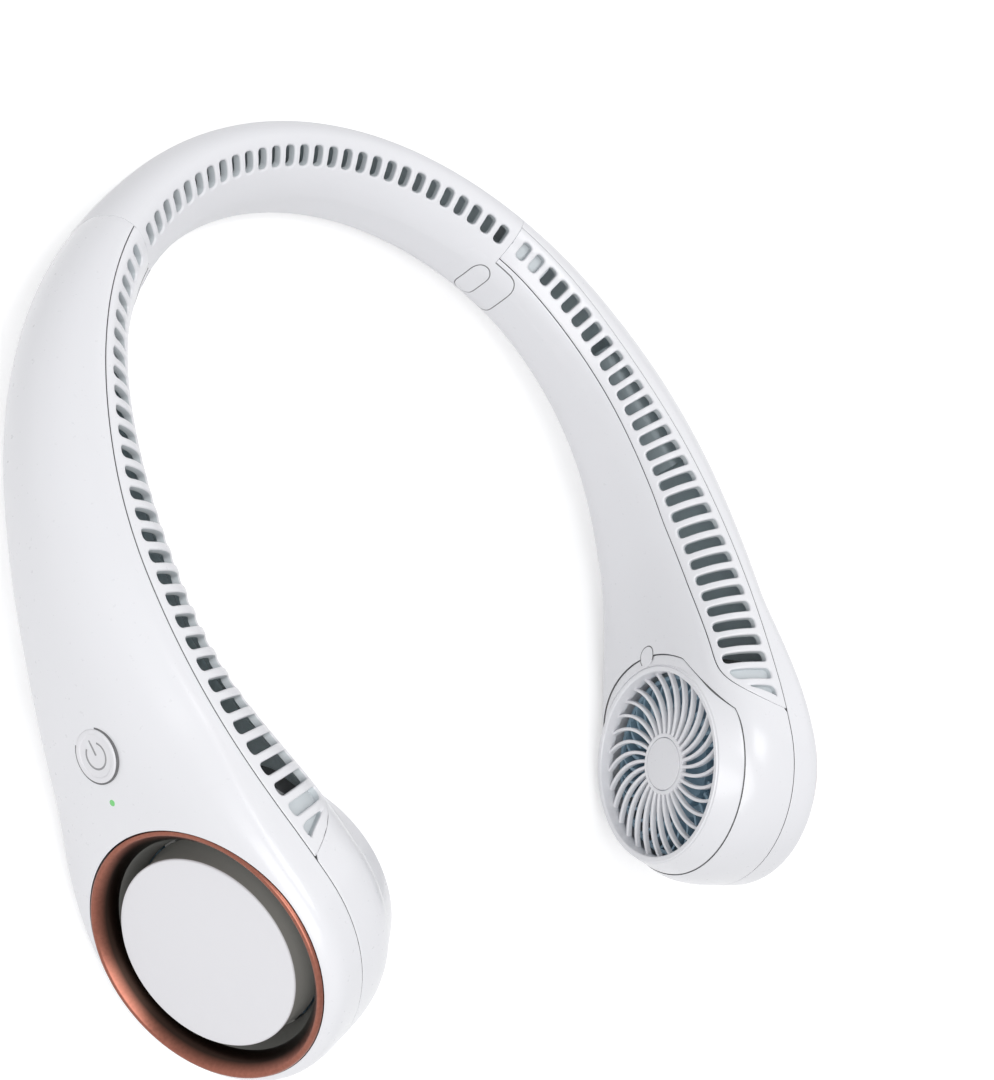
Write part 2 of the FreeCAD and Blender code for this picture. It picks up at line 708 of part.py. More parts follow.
def bracket_screws():
    """Four small screws, from under the bracket up into the funnel's flange."""
    spot = Vector(SCREW_CIRCLE, 0, 0)
    shank = Part.makeCylinder(SCREW_RADIUS, SCREW_LENGTH, spot + AXIS * BRACKET_LOW)
    head = Part.makeCylinder(SCREW_HEAD_RADIUS, SCREW_HEAD, spot + AXIS * (BRACKET_LOW - SCREW_HEAD))
    return Part.makeCompound(round_about(one(shank.fuse(head)), BRACKET_ARMS, 45))


def motor_bearings():
    """Two plain bushes in the bracket's tube."""
    upper = BRACKET_LOW - BEARING_INSET
    lower = TUBE_END + BEARING_INSET
    ends = ((upper - BEARING_LENGTH, upper), (lower, lower + BEARING_LENGTH))
    return Part.makeCompound([disc(BEARING_RADIUS, a, b, SHAFT_RADIUS + RUN_GAP) for a, b in ends])


def stator_core():
    """Laminated stator: a yoke on the bearing tube and teeth with wide tips."""
    bore = TUBE_RADIUS + PRESS_GAP
    yoke = disc(bore + YOKE_THICKNESS, STATOR_END, STATOR_TOP, bore)
    tooth = Part.makeBox(STATOR_RADIUS - bore - 2 * TOOTH_ROOT, TOOTH_WIDTH, STATOR_HEIGHT,
                         Vector(bore + TOOTH_ROOT, -TOOTH_WIDTH / 2, STATOR_END))
    tip_ring = disc(STATOR_RADIUS, STATOR_END, STATOR_TOP, STATOR_RADIUS - TOOTH_TIP)
    gap = Part.makeBox(STATOR_RADIUS + 1, TOOTH_TIP, STATOR_HEIGHT + 2,
                       Vector(0, -TOOTH_TIP / 2, STATOR_END - 1))
    half_turn = 180 / STATOR_TEETH
    tips = tip_ring.cut(Part.makeCompound(round_about(gap, STATOR_TEETH, half_turn)))
    return one(yoke.multiFuse(round_about(tooth, STATOR_TEETH) + tips.Solids))


def stator_coils():
    """Copper coils, one round each tooth."""
    start = TUBE_RADIUS + PRESS_GAP + YOKE_THICKNESS + COIL_START_GAP
    end = STATOR_RADIUS - TOOTH_TIP - COIL_END_GAP
    gap = PRESS_GAP
    wide = TOOTH_WIDTH + 2 * gap
    tall = STATOR_HEIGHT + 2 * gap
    outer = Part.makeBox(end - start, wide + 2 * COIL_THICKNESS, tall + 2 * COIL_THICKNESS,
                         Vector(start, -wide / 2 - COIL_THICKNESS, STATOR_END - gap - COIL_THICKNESS))
    inner = Part.makeBox(end - start + 2, wide, tall, Vector(start - 1, -wide / 2, STATOR_END - gap))
    return Part.makeCompound(round_about(one(outer.cut(inner)), STATOR_TEETH))


def rotor_can():
    """Steel cup of the outer rotor, with the boss that grips the shaft."""
    wall = disc(CAN_RADIUS, CAN_PLATE_LOW, STATOR_TOP, CAN_RADIUS - CAN_WALL)
    plate = disc(CAN_RADIUS, CAN_PLATE_LOW, CAN_PLATE_TOP)
    boss = disc(CAN_BOSS_RADIUS, SHAFT_END, CAN_PLATE_TOP)
    hole = disc(SHAFT_RADIUS + PRESS_GAP, SHAFT_END - 1, CAN_PLATE_TOP + 1)
    return one(wall.multiFuse([plate, boss]).cut(hole))


def magnet_ring():
    """Ring magnet inside the can."""
    return disc(MAGNET_BORE + MAGNET_THICKNESS, STATOR_END, STATOR_TOP, MAGNET_BORE)


def motor_shaft():
    """Shaft from the can's boss up through both bushes."""
    return disc(SHAFT_RADIUS, SHAFT_END, BRACKET_LOW)


def impeller():
    """Centrifugal wheel: hub cup over the can, middle disc, curved blades and two end rings."""
    bore = CAN_RADIUS + PRESS_GAP
    hub_radius = bore + IMPELLER_HUB_WALL
    floor_top = CAN_PLATE_LOW - PRESS_GAP
    floor_low = floor_top - IMPELLER_HUB_WALL
    hub = disc(hub_radius, floor_low, IMPELLER_TOP, bore)
    floor = disc(hub_radius, floor_low, floor_top, CAN_BOSS_RADIUS + SEAT_GAP)
    middle = (IMPELLER_TOP + IMPELLER_LOW) / 2
    plate = disc(IMPELLER_RADIUS, middle - IMPELLER_DISC / 2, middle + IMPELLER_DISC / 2, bore)
    blade = swept_bar(BLADE_ROOT_RADIUS, IMPELLER_RADIUS - BLADE_INSET, BLADE_THICKNESS, BLADE_THICKNESS,
                      BLADE_SWEEP, IMPELLER_LOW, IMPELLER_TOP)
    eye = IMPELLER_RADIUS - SHROUD_WIDTH
    upper = disc(IMPELLER_RADIUS, IMPELLER_TOP - SHROUD_HEIGHT, IMPELLER_TOP, eye)
    lower = disc(IMPELLER_RADIUS, IMPELLER_LOW, IMPELLER_LOW + SHROUD_HEIGHT, eye)
    return one(hub.multiFuse([floor, plate, upper, lower] + round_about(blade, IMPELLER_BLADES)))


def cover_prism(gap, inner_end):
    """Outline of the cover along the pod's axis: a disc with a straight edge under the strip's tip."""
    beyond = Part.makeBox(POD_RADIUS, 4 * POD_RADIUS, 4 * POD_INNER,
                          Vector(COVER_CHORD + gap, -2 * POD_RADIUS, -3 * POD_INNER))
    beyond.rotate(Vector(), AXIS, -COVER_CHORD_TURN)
    return disc(COVER_RADIUS + gap, -2 * POD_INNER, inner_end).cut(beyond)


def cover_tab(gap):
    """Prism of the cover's finger tab, towards the arm; with a gap, the recess for it."""
    low, high = -2 * POD_INNER, -POD_INNER / 2
    round_end = Part.makeCylinder(TAB_RADIUS + gap, high - low, Vector(TAB_HEIGHT, -TAB_REACH, low))
    root = Part.makeBox(2 * (TAB_RADIUS + gap), TAB_REACH - COVER_RADIUS + TAB_ROOT, high - low,
                        Vector(TAB_HEIGHT - TAB_RADIUS - gap, -TAB_REACH, low))
    return in_pod(round_end.fuse(root))


def cover_dome():
    """Round dome of the cover, from its seam up to the lip of the grille."""
    lip = GRILLE_RADIUS + LIP_ROUND
    shoulder = GRILLE_FACE + LIP_ROUND
    rise = Vector(lip - COVER_RADIUS, shoulder - COVER_SEAM, 0)
    bulge = Vector(-rise.y, rise.x, 0).normalize() * COVER_BULGE
    middle = Vector((lip + COVER_RADIUS) / 2, (shoulder + COVER_SEAM) / 2, 0) + bulge
    corner = LIP_ROUND * (1 - math.sqrt(0.5))
    return turned([(0, COVER_END), (COVER_RADIUS, COVER_END),
                   (COVER_RADIUS, COVER_SEAM, middle.x, middle.y),
                   (lip, shoulder, lip - corner, GRILLE_FACE + corner),
                   (GRILLE_RADIUS, GRILLE_FACE), (0, GRILLE_FACE)])


def grille_cover(arm_half, tab):
    """Cover of the pod's inner face, flush with the arm, with a raised lip and sunk swirled spokes."""
    eye = GRILLE_RADIUS - GRILLE_RIM
    rim = COVER_RADIUS - COVER_WALL
    past = COVER_END + CUT_OVER
    flush = arm_half.common(in_pod(cover_prism(0, COVER_END)))
    dome = cover_dome().common(cover_prism(0, past))
    hollow = turned([(0, past), (rim, past), (rim, COVER_SEAM), (eye, SPOKE_BACK), (0, SPOKE_BACK)])
    hollow = hollow.common(cover_prism(-COVER_WALL, past))
    web = disc(eye, GRILLE_FACE - CUT_OVER, past)
    body = flush.multiFuse([in_pod(dome), tab]).cut(in_pod(hollow)).cut(in_pod(web))
    hub = disc(HUB_RADIUS, SPOKE_FACE, SPOKE_BACK)
    spoke = swept_bar(HUB_RADIUS - GRILLE_RIM, eye + GRILLE_RIM / 2, SPOKE_ROOT_WIDTH, SPOKE_WIDTH,
                      SPOKE_SWEEP, SPOKE_FACE, SPOKE_BACK)
    seat = disc(HUB_CAP_RADIUS + SEAT_GAP, SPOKE_FACE - CUT_OVER, SPOKE_FACE + HUB_CAP_SINK)
    grille = hub.multiFuse(round_about(spoke, GRILLE_SPOKES)).cut(seat)
    return one(body.fuse(in_pod(grille)))


def hub_cap():
    """Shallow domed button in the middle of the grille."""
    back = SPOKE_FACE + HUB_CAP_SINK
    crown = SPOKE_FACE - HUB_CAP_RISE
    return turned([(0, back), (HUB_CAP_RADIUS, back),
                   (HUB_CAP_RADIUS, SPOKE_FACE, HUB_CAP_RADIUS * 0.6, SPOKE_FACE - HUB_CAP_RISE * 0.75),
                   (HUB_CAP_FLAT, crown), (0, crown)])


def outer_shell(left):
    """Outer half of an arm and pod; the left-hand one also has the button, light and socket holes."""
    shell = half_solid(OUTER, BREAK_STATION)
    shell = shell.cut(half_solid(OUTER, BREAK_STATION - CUT_OVER, SHELL_WALL, CUT_OVER))
    mouth = in_pod(disc(RING_RADIUS, RING_SEAT - CUT_OVER, POD_OUTER + CUT_OVER))
    shell = one(shell.cut(mouth))
    cavity = half_solid(OUTER, BREAK_STATION, SHELL_WALL / 2)
    for station in (CELL_START + RIB_INSET, CELL_START + CELL_LENGTH - RIB_INSET):
        frame = frame_at(station)
        slab = rounded_prism(at(frame, POD_RADIUS + RIB_LIFT, 0, -RIB_THICKNESS / 2), frame[2], frame[3],
                             2 * POD_RADIUS, 4 * POD_RADIUS, 1, frame[1] * RIB_THICKNESS)
        shell = shell.fuse(slab.common(cavity).cut(battery_cell(SEAT_GAP)))
    if left:
        shell = left_features(shell)
    return one(shell)


def button_frame():
    """Frame at the button, and how far out the shell's face is there."""
    frame = frame_at(POD_STATION - BUTTON_SETBACK)
    return frame, face_out(POD_STATION - BUTTON_SETBACK, BUTTON_HEIGHT)


def face_out(s, high):
    """Offset of the outer face at a height above the seam line's middle."""
    size = sizes(s)
    power = size[(OUTER, 1 if high > 0 else -1)]
    return half_width(s, OUTER) * (1 - (abs(high) / size["half"]) ** power) ** (1 / power)


def board_level():
    """Offset of the board's outer face, set by the stack of button and switch."""
    out = button_frame()[1]
    flange_low = out - SHELL_WALL - SLIDE_GAP - BUTTON_FLANGE_THICKNESS
    return flange_low - BUTTON_TRAVEL - SLIDE_GAP - SWITCH_STEM - SWITCH_BODY


def stub(frame, high, forward, radius, low, top):
    """Round pin along the outward direction of a frame, between two offsets."""
    return Part.makeCylinder(radius, top - low, at(frame, low, high, forward), frame[2])


def left_features(shell):
    """Cuts the button, light and socket holes and adds the posts that carry the board."""
    frame, out = button_frame()
    posts = [stub(frame, BUTTON_HEIGHT + high, forward, POST_RADIUS, board_level(), out - SHELL_WALL / 2)
             for high, forward in board_posts()]
    shell = shell.multiFuse(posts)
    hole = stub(frame, BUTTON_HEIGHT, 0, BUTTON_RADIUS + SLIDE_GAP, board_level(), out + CUT_OVER)
    flange = stub(frame, BUTTON_HEIGHT, 0, BUTTON_RADIUS + BUTTON_FLANGE, board_level(), out - SHELL_WALL)
    light = stub(frame, LIGHT_HEIGHT, light_forward(), LIGHT_RADIUS + PRESS_GAP, board_level(),
                 out + CUT_OVER)
    return shell.cut(Part.makeCompound([hole, flange, light, socket_block(SEAT_GAP, 2 * CUT_OVER)]))


def light_forward():
    """How far along the arm the light is from the button."""
    return BUTTON_SETBACK - LIGHT_SETBACK


def board_posts():
    """Places of the board's posts, as heights and distances along the arm from the button."""
    reach = BOARD_LENGTH / 2 - 2 * POST_RADIUS
    side = BOARD_WIDTH / 2 - 1.2 * POST_RADIUS
    return ((side, BOARD_SHIFT + reach), (-side, BOARD_SHIFT + reach), (side, BOARD_SHIFT - reach),
            (-side, BOARD_SHIFT - reach))


def power_button():
    """Round button with a flange that keeps it behind the shell."""
    frame, out = button_frame()
    under = out - SHELL_WALL - SLIDE_GAP - BUTTON_FLANGE_THICKNESS
    cap = stub(frame, BUTTON_HEIGHT, 0, BUTTON_RADIUS, under, out + BUTTON_PROUD)
    flange = stub(frame, BUTTON_HEIGHT, 0, BUTTON_RADIUS + BUTTON_FLANGE - SLIDE_GAP, under,
                  under + BUTTON_FLANGE_THICKNESS)
    return one(cap.fuse(flange))


def light_pipe():
    """Clear pin that carries the light from the board to the shell's face."""
    frame, _ = button_frame()
    out = face_out(POD_STATION - LIGHT_SETBACK, LIGHT_HEIGHT)
    return stub(frame, LIGHT_HEIGHT, light_forward(), LIGHT_RADIUS, board_level(), out)


def main_board():
    """Control board on its posts."""
    frame, _ = button_frame()
    centre = at(frame, board_level() - BOARD_THICKNESS, BUTTON_HEIGHT, BOARD_SHIFT)
    return rounded_prism(centre, frame[1], frame[3], BOARD_LENGTH, BOARD_WIDTH, 1, frame[2] * BOARD_THICKNESS)


def tact_switch():
    """Switch on the board under the button."""
    frame, _ = button_frame()
    level = board_level()
    body = rounded_prism(at(frame, level, BUTTON_HEIGHT), frame[1], frame[3], SWITCH_SIDE, SWITCH_SIDE,
                         SWITCH_CORNER, frame[2] * SWITCH_BODY)
    stem = stub(frame, BUTTON_HEIGHT, 0, SWITCH_STEM_RADIUS, level + SWITCH_BODY,
                level + SWITCH_BODY + SWITCH_STEM)
    return one(body.fuse(stem))


def socket_frame():
    """Frame at the charging socket and the height of the arm's underside there."""
    s = POD_STATION - SOCKET_SETBACK
    size = sizes(s)
    power = size[(OUTER, -1)]
    low = -size["half"] * (1 - (SOCKET_OFFSET / half_width(s, OUTER)) ** power) ** (1 / power)
    return frame_at(s), low + SOCKET_SINK


def socket_block(gap, below=0.0):
    """Outside of the charging socket, with a gap all round."""
    frame, low = socket_frame()
    push = frame[3] * (SOCKET_DEPTH + below + gap)
    return rounded_prism(at(frame, SOCKET_OFFSET, low - below), frame[1], frame[2], SOCKET_WIDTH + 2 * gap,
                         SOCKET_HEIGHT + 2 * gap, SOCKET_HEIGHT / 2 + gap, push)


def charging_socket():
    """Charging socket: a flat round-ended sleeve with a tongue, open downwards."""
    frame, low = socket_frame()
    wall = SOCKET_WALL
    inside = rounded_prism(at(frame, SOCKET_OFFSET, low - CUT_OVER), frame[1], frame[2],
                           SOCKET_WIDTH - 2 * wall, SOCKET_HEIGHT - 2 * wall, SOCKET_HEIGHT / 2 - wall,
                           frame[3] * (SOCKET_DEPTH - wall + CUT_OVER))
    tongue = rounded_prism(at(frame, SOCKET_OFFSET, low + SOCKET_TONGUE_SINK), frame[1], frame[2],
                           SOCKET_TONGUE_WIDTH, SOCKET_TONGUE, SOCKET_TONGUE_CORNER,
                           frame[3] * (SOCKET_DEPTH - SOCKET_TONGUE_SINK))
    return one(socket_block(0).cut(inside).fuse(tongue))


def battery_cell(gap=0.0):
    """Flat battery cell in the arm's outer half, held by the shell's ribs."""
    frame = frame_at(CELL_START + CELL_LENGTH / 2)
    centre = at(frame, CELL_OFFSET + CELL_THICKNESS / 2, 0, -CELL_LENGTH / 2 - gap)
    return rounded_prism(centre, frame[2], frame[3], CELL_THICKNESS + 2 * gap, CELL_HEIGHT + 2 * gap,
                         CELL_CORNER, frame[1] * (CELL_LENGTH + 2 * gap))


def tongue_tool(gap):
    """Prism of the band's tongue over the arm's inner face, rounded at its free end."""
    frame = frame_at(BREAK_STATION + TONGUE_LENGTH / 2)
    height = TONGUE_HIGH - TONGUE_LOW + 2 * gap
    length = 2 * (TONGUE_LENGTH + gap)
    middle = (TONGUE_HIGH + TONGUE_LOW) / 2
    centre = at(frame, 0, middle, TONGUE_LENGTH / 2 + gap - length / 2)
    return rounded_prism(centre, frame[1], frame[3], length, height, TONGUE_CORNER, frame[2] * -2 * ARM_INNER)


def inner_pieces():
    """Inner shell, air strip, the band's tongue and the grille cover, cut from one half of the arm."""
    arm_half = half_solid(INNER, BREAK_STATION)
    wall = arm_half.cut(half_solid(INNER, BREAK_STATION - CUT_OVER, SHELL_WALL, CUT_OVER))
    tool = strip_tool()
    strip = one(wall.common(tool)).cut(arm_cutters())
    shell = one(wall.cut(tool))
    tongue = one(shell.common(tongue_tool(0)))
    cover = grille_cover(arm_half, one(shell.common(cover_tab(0))))
    opening = in_pod(cover_prism(SLIDE_GAP, COVER_END + CUT_OVER))
    cuts = [opening, cover_tab(SLIDE_GAP), tongue_tool(SEAT_GAP)]
    return one(shell.cut(Part.makeCompound(cuts))), one(strip), tongue, cover


def band_tube(start, end, count):
    """Hollow slotted length of the soft band between two stations."""
    body = whole_solid(start, end, 0, count)
    body = body.cut(whole_solid(start - CUT_OVER, end + CUT_OVER, BAND_WALL, count))
    return body.cut(band_cutters(start, end))


def peg_prism(gap, depth):
    """Round-ended prism through the band's inner face, to a depth under its widest line."""
    s = BREAK_STATION - PEG_SETBACK
    frame = frame_at(s)
    start = at(frame, -half_width(s, INNER) - CUT_OVER, PEG_HEIGHT)
    return rounded_prism(start, frame[3], frame[1], PEG_LENGTH + 2 * gap, PEG_WIDTH + 2 * gap,
                         PEG_WIDTH / 2 + gap, frame[2] * (depth + CUT_OVER))


def anchor_peg():
    """Round-ended peg at the joint of band and arm, flush with their inner face."""
    around = whole_solid(BREAK_STATION - PEG_LENGTH, BREAK_STATION + PEG_LENGTH, 0, PEG_SECTIONS)
    return one(peg_prism(0, PEG_DEPTH).common(around))


def band_end(tongue):
    """Bending length of the band, with its tongue over the arm."""
    body = band_tube(RIGID_STATION + SLIDE_GAP, BREAK_STATION, 6).fuse(tongue)
    return one(body.cut(peg_prism(SEAT_GAP, PEG_DEPTH)))


def band_anchor():
    """Rigid neck inside the joint of band and arm, with the lug that takes the peg."""
    gap = SEAT_GAP
    inset = BAND_WALL + gap
    start, end = BREAK_STATION - ANCHOR_BACK, BREAK_STATION + ANCHOR_FRONT
    neck = whole_solid(start, end, inset, 4)
    neck = neck.cut(whole_solid(start - CUT_OVER, end + CUT_OVER, inset + ANCHOR_WALL, 4))
    lug = whole_solid(start - ANCHOR_TAB, start, inset, 3)
    lug = lug.cut(whole_solid(start - ANCHOR_TAB - CUT_OVER, start + CUT_OVER, inset + ANCHOR_WALL, 3))
    frame = frame_at(start)
    window = rounded_prism(at(frame, 0, PEG_HEIGHT, -ANCHOR_TAB), frame[1], frame[3], 4 * ANCHOR_TAB,
                           PEG_LENGTH + 3, 1, frame[2] * -2 * ARM_INNER)
    return one(neck.fuse(lug.common(window)).cut(peg_prism(gap, PEG_DEPTH + gap)))


def wire_run(start, end):
    """Round wire bundle on the floor of the band, from one station to another of the back arc."""
    size = sizes(0)
    high = size["middle"] - size["half"] + BAND_WALL + WIRE_RADIUS + SLIDE_GAP + ANCHOR_WALL
    turn = Vector(0, -BACK_RADIUS, high)
    first, last = math.degrees(start / BACK_RADIUS), math.degrees(end / BACK_RADIUS)
    circle = Part.makeCircle(WIRE_RADIUS, turn + Vector(0, BACK_RADIUS, 0), Vector(1, 0, 0))
    face = Part.Face(Part.Wire(circle))
    face.rotate(turn, AXIS, -first)
    return face.revolve(turn, AXIS * -1, last - first)


def mirrored(shape):
    """Left-hand copy of a right-hand shape."""
    return shape.mirror(Vector(), Vector(1, 0, 0))


def rest_angle():
    """Angle about X at which the underside of the band and of the pods stand on one level."""
    back, pods = [], []
    for s in spread(0, POD_STATION + POD_RADIUS, 60):
        frame = frame_at(min(s, POD_STATION))
        over = max(s - POD_STATION, 0)
        for a in spread(0, 180, 31):
            size = sizes(s)
            for side in (OUTER, INNER):
                power = size[(side, -1)]
                drop = math.sin(math.radians(a))
                high = -drop * math.sqrt(max(size["half"] ** 2 - over ** 2, 0))
                rim = min(math.hypot(high, over) / size["half"], 1)
                out = side * half_width(s, side) * (1 - rim ** power) ** (1 / power)
                (back if s < BREAK_STATION else pods).append(at(frame, out, high, over))
    low, high = 0.0, 30.0
    for _ in range(40):
        turn = math.radians((low + high) / 2)
        back_low = min(p.z * math.cos(turn) - p.y * math.sin(turn) for p in back)
        pod_low = min(p.z * math.cos(turn) - p.y * math.sin(turn) for p in pods)
        if back_low > pod_low:
            low = (low + high) / 2
        else:
            high = (low + high) / 2
    return (low + high) / 2


def build():
    """All pieces in the design frame, by node name."""
    shell, strip, tongue, cover = inner_pieces()
    right = {
        "outer_shell": outer_shell(False),
        "inner_shell": shell,
        "vent_strip": strip,
        "band_end": band_end(tongue),
        "band_anchor": band_anchor(),
        "anchor_peg": anchor_peg(),
        "wire_end": wire_run(RIGID_STATION + SLIDE_GAP, WIRE_END_STATION),
        "battery_cell": battery_cell(),
        "grille_cover": cover,
    }
    pod_pieces = {
        "intake_ring": intake_ring(), "intake_funnel": intake_funnel(), "intake_cap": intake_cap(),
        "motor_bracket": motor_bracket(), "bracket_screws": bracket_screws(),
        "motor_bearings": motor_bearings(), "stator_core": stator_core(), "stator_coils": stator_coils(),
        "rotor_can": rotor_can(), "magnet_ring": magnet_ring(), "motor_shaft": motor_shaft(),
        "impeller": impeller(), "grille_hub_cap": hub_cap(),
    }
    right.update({name: in_pod(shape) for name, shape in pod_pieces.items()})
    nodes = {"right_" + name: shape for name, shape in right.items()}
    nodes.update({"left_" + name: mirrored(shape) for name, shape in right.items()})
    nodes["left_outer_shell"] = mirrored(outer_shell(True))
    for name, shape in (("power_button", power_button()), ("light_pipe", light_pipe()),
                        ("main_board", main_board()), ("tact_switch", tact_switch()),
                        ("charging_socket", charging_socket())):
        nodes[name] = mirrored(shape)
    nodes["band_sleeve"] = band_tube(-RIGID_STATION, RIGID_STATION, 5)
    nodes["band_wires"] = wire_run(-RIGID_STATION, RIGID_STATION)
    return nodes


def joint_lines(tilt, shift):
    """Joint places and directions after the object is set down, one line each."""

    def set_down(vector, moves):
        turned_vector = FreeCAD.Rotation(Vector(1, 0, 0), -tilt).multVec(vector)
        return turned_vector + shift if moves else turned_vector

    flex = frame_at(FLEX_STATION)
    button, out = button_frame()
    socket, low = socket_frame()
    rows = [("right_arm_flex", at(flex, 0, 0), Vector(0, 0, 1)), ("right_fan", POD_FRAME[0], POD_FRAME[2]),
            ("power_button", at(button, out, BUTTON_HEIGHT), button[2] * -1),
            ("charging_socket", at(socket, SOCKET_OFFSET, low), socket[3] * -1),
            ("origin_of_design", Vector(), AXIS)]
    for name, place, way in rows:
        p, d = set_down(place, True), set_down(way, False)
        print("%s place %.4f %.4f %.4f way %.6f %.6f %.6f" % (name, p.x, p.y, p.z, d.x, d.y, d.z))


def main():
    """Builds every piece, sets the object down on its underside and writes one file per piece."""
    os.makedirs("parts", exist_ok=True)
    nodes = build()
    tilt = rest_angle()
    for shape in nodes.values():
        shape.rotate(Vector(), Vector(1, 0, 0), -tilt)
    box = FreeCAD.BoundBox()
    for shape in nodes.values():
        box.add(shape.optimalBoundingBox(False, False))
    shift = Vector(-box.Center.x, -box.Center.y, -box.ZMin)
    for name, shape in nodes.items():
        shape.translate(shift)
        bad = "" if shape.isValid() else " NOT VALID"
        print("%s solids %d volume %.1f%s" % (name, len(shape.Solids), shape.Volume, bad))
        shape.exportStep("parts/" + name + ".step")
    print("size %.2f %.2f %.2f tilt %.3f" % (box.XLength, box.YLength, box.ZLength, tilt))
    joint_lines(tilt, shift)


main()
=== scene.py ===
import json
import math

import bmesh
import bpy
import numpy as np
from mathutils import Matrix


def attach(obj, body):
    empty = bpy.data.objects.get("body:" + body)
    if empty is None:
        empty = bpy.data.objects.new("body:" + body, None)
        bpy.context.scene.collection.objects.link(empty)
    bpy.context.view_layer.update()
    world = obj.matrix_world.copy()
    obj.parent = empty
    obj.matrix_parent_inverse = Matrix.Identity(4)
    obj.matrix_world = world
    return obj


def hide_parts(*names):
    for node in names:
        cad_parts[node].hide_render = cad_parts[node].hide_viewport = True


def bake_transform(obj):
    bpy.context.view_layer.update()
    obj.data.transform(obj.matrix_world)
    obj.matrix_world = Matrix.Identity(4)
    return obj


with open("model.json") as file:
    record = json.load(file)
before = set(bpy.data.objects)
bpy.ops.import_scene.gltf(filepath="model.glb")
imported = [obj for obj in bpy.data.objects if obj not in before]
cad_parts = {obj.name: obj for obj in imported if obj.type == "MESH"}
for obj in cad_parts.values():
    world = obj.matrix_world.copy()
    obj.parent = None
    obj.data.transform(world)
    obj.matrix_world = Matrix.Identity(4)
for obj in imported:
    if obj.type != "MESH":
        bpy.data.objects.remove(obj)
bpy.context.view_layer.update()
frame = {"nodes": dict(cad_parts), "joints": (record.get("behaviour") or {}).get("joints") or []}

# Plan and side view of the band and arms, in millimetres, as in the part's source
BACK_RADIUS, BACK_TURN = 86.0, math.radians(60.7)
SIDE_RADIUS, SIDE_TURN = 118.0, math.radians(29.3)
FRONT_RADIUS, FRONT_TURN = 208.6, math.radians(17.75)
POD_LEAD = 4.5
BACK_TOP, BACK_HEIGHT = 1.4, 24.8
POD_TOP, POD_RADIUS, POD_LEAN = 8.7, 29.9, math.radians(7.6)
SWELL_START, SWELL_POWER = 0.25, 2.2
TOP_START, TOP_POWER, TOP_EASE = 100.0, 1.5, 15.0

# Half widths outside and inside the seam line at the back, on the arms and at the pods
OUTER_WIDTHS = (7.0, 12.3, 11.2)
INNER_WIDTHS = (10.2, 15.0, 20.0)
ARM_SEAM_SHIFT = -2.1
OUTER_TOP_SQUARE, OUTER_LOW_SQUARE, POD_OUTER_SQUARE = 2.3, 2.1, 5.5
BACK_INNER_SQUARE, ARM_INNER_SQUARE, INNER_LOW_SQUARE, POD_INNER_SQUARE = 1.57, 2.8, 3.5, 3.6

# Where the section changes: before and after the end of the back's arc, or back from the pod's axis
ARM_BLEND, INNER_ARM_BLEND, CORNER_BLEND = (45.0, 35.0), (30.0, 64.0), (11.0, 62.0)
POD_BLEND, INNER_POD_BLEND, SEAM_FADE = (80.0, 12.0), (61.0, 13.0), (116.0, 26.0)
POD_SQUARE_BLEND, INNER_SQUARE_BLEND = (40.0, 0.0), (46.0, 8.0)

# Walls, the gap that shows at a seam, and the small rounding of moulded edges
SHELL_WALL, BAND_WALL = 1.8, 2.2
SEAM_GAP, EDGE_ROUND = 0.18, 0.22
BREAK_GAP, BREAK_ROUND, SKIN_INSET = 0.06, 0.08, 0.03
WELD, SLIVER, SHARP_EDGE = 0.004, 0.002, math.radians(38.0)
POLE, ROW_GAP = 0.02, 0.02

# Limits that keep divisions and halvings away from the very ends of a curve
TINY, SHARE_LIMITS, FACE_LIMIT, RIM_LIMIT = 1e-9, (1e-4, 0.9999), 0.98, 0.999
CHORD_LIMIT, LEAST_STRIP, LEAST_CORNER, LEAST_ANGLE = 0.2, 0.01, 0.05, 1e-6

# Slots of the band and of the arms
BAND_HALF_SLOTS, BAND_PITCH = 14, 4.68
ARM_SLOTS, ARM_PITCH, FIRST_SLOT = 30, 4.8, 71.2
BREAK_STATION = 67.0
SLOT_WIDTH, SLOT_CORNER, SLOT_BEVEL, SLOT_BORDER, CELL_BORDER = 2.9, 1.1, 0.45, 0.3, 0.1
BAND_SLOT_SHARES, BAND_STRIP_SHARE = (0.256, 0.633), 0.85
SLOT_OUTER_SHARES, STRIP_SHARES = (0.22, 0.10), (0.785, 0.905, 0.785)
STRIP_WIDENS, STRIP_NARROWS, STRIP_MARGINS = (70.0, 145.0), (155.0, 200.0), (0.19, 0.065)
STRIP_TIP_SETBACK, STRIP_TAPER, STRIP_TAPER_POWER = 5.2, 20.0, 4.0
STRIP_END_GAPS, STRIP_POINT = (0.03, 0.2), 0.03
BLIND_SLOTS, BLIND_DEPTH, BLIND_OVER, BLIND_SHARES = 2, 1.6, 0.4, (0.02, 0.98)
CORNER_SHARE, WALL_SHARE, LEDGE_SHARE = 0.9, 0.6, 0.6

# Points round a slot, and the rings of a slot's cell down to the foot of its bevel and of its wall
LOOP_SHORT, LOOP_LONG = 8, 16
BORDER_RINGS, BEVEL_STEPS = 7, 4
BEVEL_RINGS = BORDER_RINGS + BEVEL_STEPS
WALL_RINGS = BEVEL_RINGS + 2

